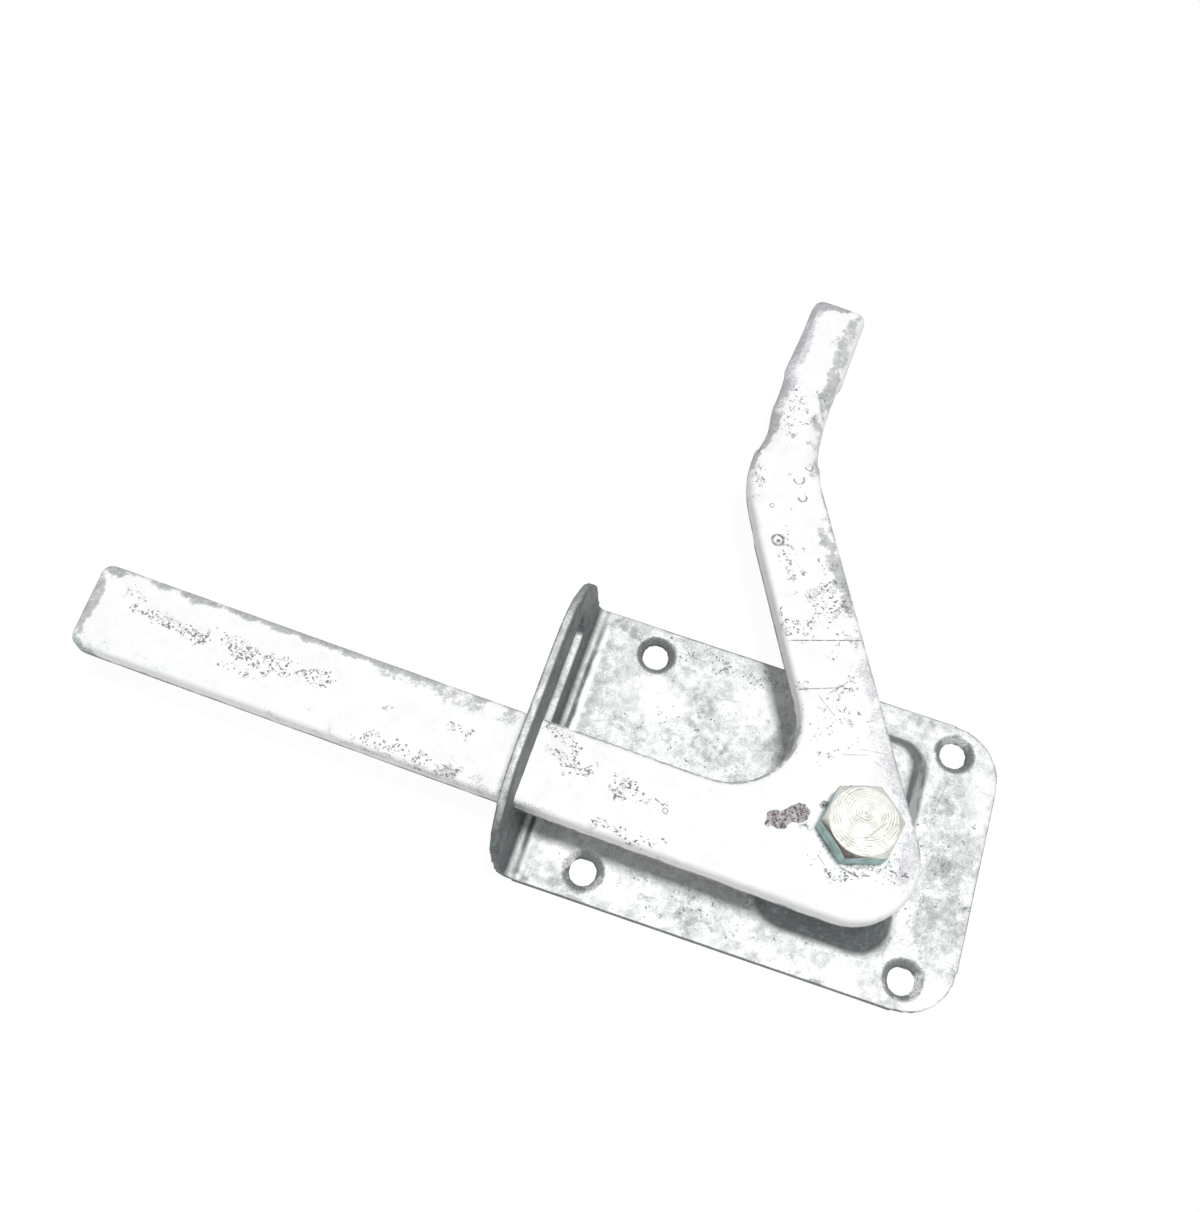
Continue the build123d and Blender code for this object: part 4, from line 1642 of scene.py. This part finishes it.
@dataclass
class HiddenParts:
    """The bush, washer and nut, which keep their CAD shapes."""

    def build(self) -> list[bpy.types.Object]:
        """Give each of them its finish.

        Returns:
            The three CAD objects.
        """
        finishes = {"spring_bush": BUSH_STEEL, "plain_washer": WASHER_ZINC, "lock_nut": NUT_ZINC}
        for node, finish in finishes.items():
            give_material(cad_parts[node], finish.build())
        return [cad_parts[node] for node in finishes]


@dataclass(frozen=True)
class Lamp:
    """A round soft lamp.

    Attributes:
        name: Its name.
        place: Its place in metres.
        size: Its width in metres.
        power: Its power in watts.
    """

    name: str
    place: tuple[float, float, float]
    size: float
    power: float

    def build(self, aim: tuple[float, float, float]) -> None:
        """Hang the lamp and turn it to a point.

        Args:
            aim: The point that it faces.
        """
        lamp = bpy.data.lights.new(self.name, "AREA")
        lamp.shape = "DISK"
        lamp.size = self.size
        lamp.energy = self.power
        obj = link_object(self.name, lamp)
        obj.location = self.place
        obj.rotation_mode = "QUATERNION"
        obj.rotation_quaternion = (Vector(aim) - Vector(self.place)).to_track_quat("-Z", "Y")


@dataclass
class Studio:
    """A plain pale floor, soft light and the camera.

    Attributes:
        focal_px: Focal length in pixels of the picture.
        centre_px: The lens axis in the picture.
        picture_px: Width and height of the picture.
        film_mm: Width of the camera's film.
        eye: The camera's place in metres.
        right: The camera's right in the row frame.
        down: The camera's down in the row frame.
        ahead: The camera's viewing direction in the row frame.
        floor_half: Half the floor's width.
        floor_z: The floor's level, just below the plate's back.
        floor_grey: The floor's own colour, as it lights the object.
        floor_glow: Strength of the white that the camera sees in the floor.
        glow_share: Share of that white in what the camera sees.
        fill_colour: Colour of the light from all round.
        fill: Strength of the light from all round.
        aim: The point that the lamps face.
        lamps: A key lamp almost overhead and a weak one in front.
    """

    focal_px: float = 1280.94
    centre_px: tuple[float, float] = (602.1, 655.5)
    picture_px: tuple[float, float] = (1200.0, 1212.0)
    film_mm: float = 36.0
    eye: tuple[float, float, float] = (-0.0392, -0.1134, 0.3444)
    right: tuple[float, float, float] = (0.94738, 0.31194, 0.07188)
    down: tuple[float, float, float] = (0.31525, -0.87018, -0.37869)
    ahead: tuple[float, float, float] = (-0.05559, 0.38142, -0.92273)
    floor_half: float = 3.0
    floor_z: float = -0.3 * MM
    floor_grey: float = 0.92
    floor_glow: float = 1.04
    glow_share: float = 0.92
    fill_colour: Colour = (0.97, 0.98, 1.0)
    fill: float = 0.13
    aim: tuple[float, float, float] = (-0.03, 0.02, 0.0)
    lamps: tuple[Lamp, ...] = (Lamp("key", (0.17, 0.10, 2.40), 0.44, 45.2),
                               Lamp("front", (-0.62, -1.02, 0.40), 0.80, 2.3))

    def camera(self) -> None:
        """Make the camera that the picture was taken with."""
        wide, tall = self.picture_px
        data = bpy.data.cameras.new("camera")
        data.sensor_fit = "HORIZONTAL"
        data.sensor_width = self.film_mm
        data.lens = self.film_mm * self.focal_px / wide
        data.shift_x = (wide / 2 - self.centre_px[0]) / wide
        data.shift_y = (self.centre_px[1] - tall / 2) / wide
        data.clip_start = 0.01
        obj = link_object("camera", data)
        x, y, z = Vector(self.right), -Vector(self.down), -Vector(self.ahead)
        turn = Matrix((x, y, z)).transposed().to_4x4()
        obj.matrix_world = Matrix.Translation(self.eye) @ turn
        bpy.context.scene.camera = obj

    def floor(self) -> None:
        """Lay the pale floor, which stays white to the camera but for the object's shadow."""
        mesh = bpy.data.meshes.new("floor")
        corners = ((-1, -1), (1, -1), (1, 1), (-1, 1))
        mesh.from_pydata([(x * self.floor_half, y * self.floor_half, self.floor_z)
                          for x, y in corners], [], [(0, 1, 2, 3)])
        obj = link_object("floor", mesh)
        material = bpy.data.materials.new("pale_floor")
        material.use_nodes = True
        t = Tree(material.node_tree)
        output = t.add("ShaderNodeOutputMaterial")
        matt = t.add("ShaderNodeBsdfDiffuse")
        matt.inputs["Color"].default_value = (*[self.floor_grey] * 3, 1.0)
        glow = t.add("ShaderNodeEmission")
        glow.inputs["Strength"].default_value = self.floor_glow
        shown = t.add("ShaderNodeMixShader")
        shown.inputs["Fac"].default_value = self.glow_share
        t.link(matt.outputs[0], shown.inputs[1])
        t.link(glow.outputs[0], shown.inputs[2])
        t.link(t.shown_to_camera(matt.outputs[0], shown.outputs[0]), output.inputs["Surface"])
        mesh.materials.append(material)

    def light(self) -> None:
        """Hang the lamps and set the pale world, which is plain white to the camera."""
        world = bpy.data.worlds.new("studio")
        bpy.context.scene.world = world
        world.use_nodes = True
        t = Tree(world.node_tree)
        output = t.add("ShaderNodeOutputWorld")
        fill = t.add("ShaderNodeBackground")
        fill.inputs["Color"].default_value = (*self.fill_colour, 1.0)
        fill.inputs["Strength"].default_value = self.fill
        white = t.add("ShaderNodeBackground")
        white.inputs["Color"].default_value = (1.0, 1.0, 1.0, 1.0)
        t.link(t.shown_to_camera(fill.outputs[0], white.outputs[0]), output.inputs["Surface"])
        for lamp in self.lamps:
            lamp.build(self.aim)

    def build(self) -> None:
        """Make the camera, floor and lights."""
        self.camera()
        self.floor()
        self.light()
        bpy.context.scene.view_settings.view_transform = "Standard"


def main() -> None:
    """Build the latch piece by piece, then the studio."""
    logging.basicConfig(level=logging.INFO, format="%(message)s")
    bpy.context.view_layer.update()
    made: list[bpy.types.Object] = [BasePlate().build(), LatchLever().build()]
    made += PivotBolt().build()
    made.append(TorsionSpring().build())
    made.append(ZincBeads().build())
    made += HiddenParts().build()
    for obj in made:
        LOG.info("%s: %d faces", obj.name, len(obj.data.polygons))
    Studio().build()


if __name__ == "__main__":
    main()
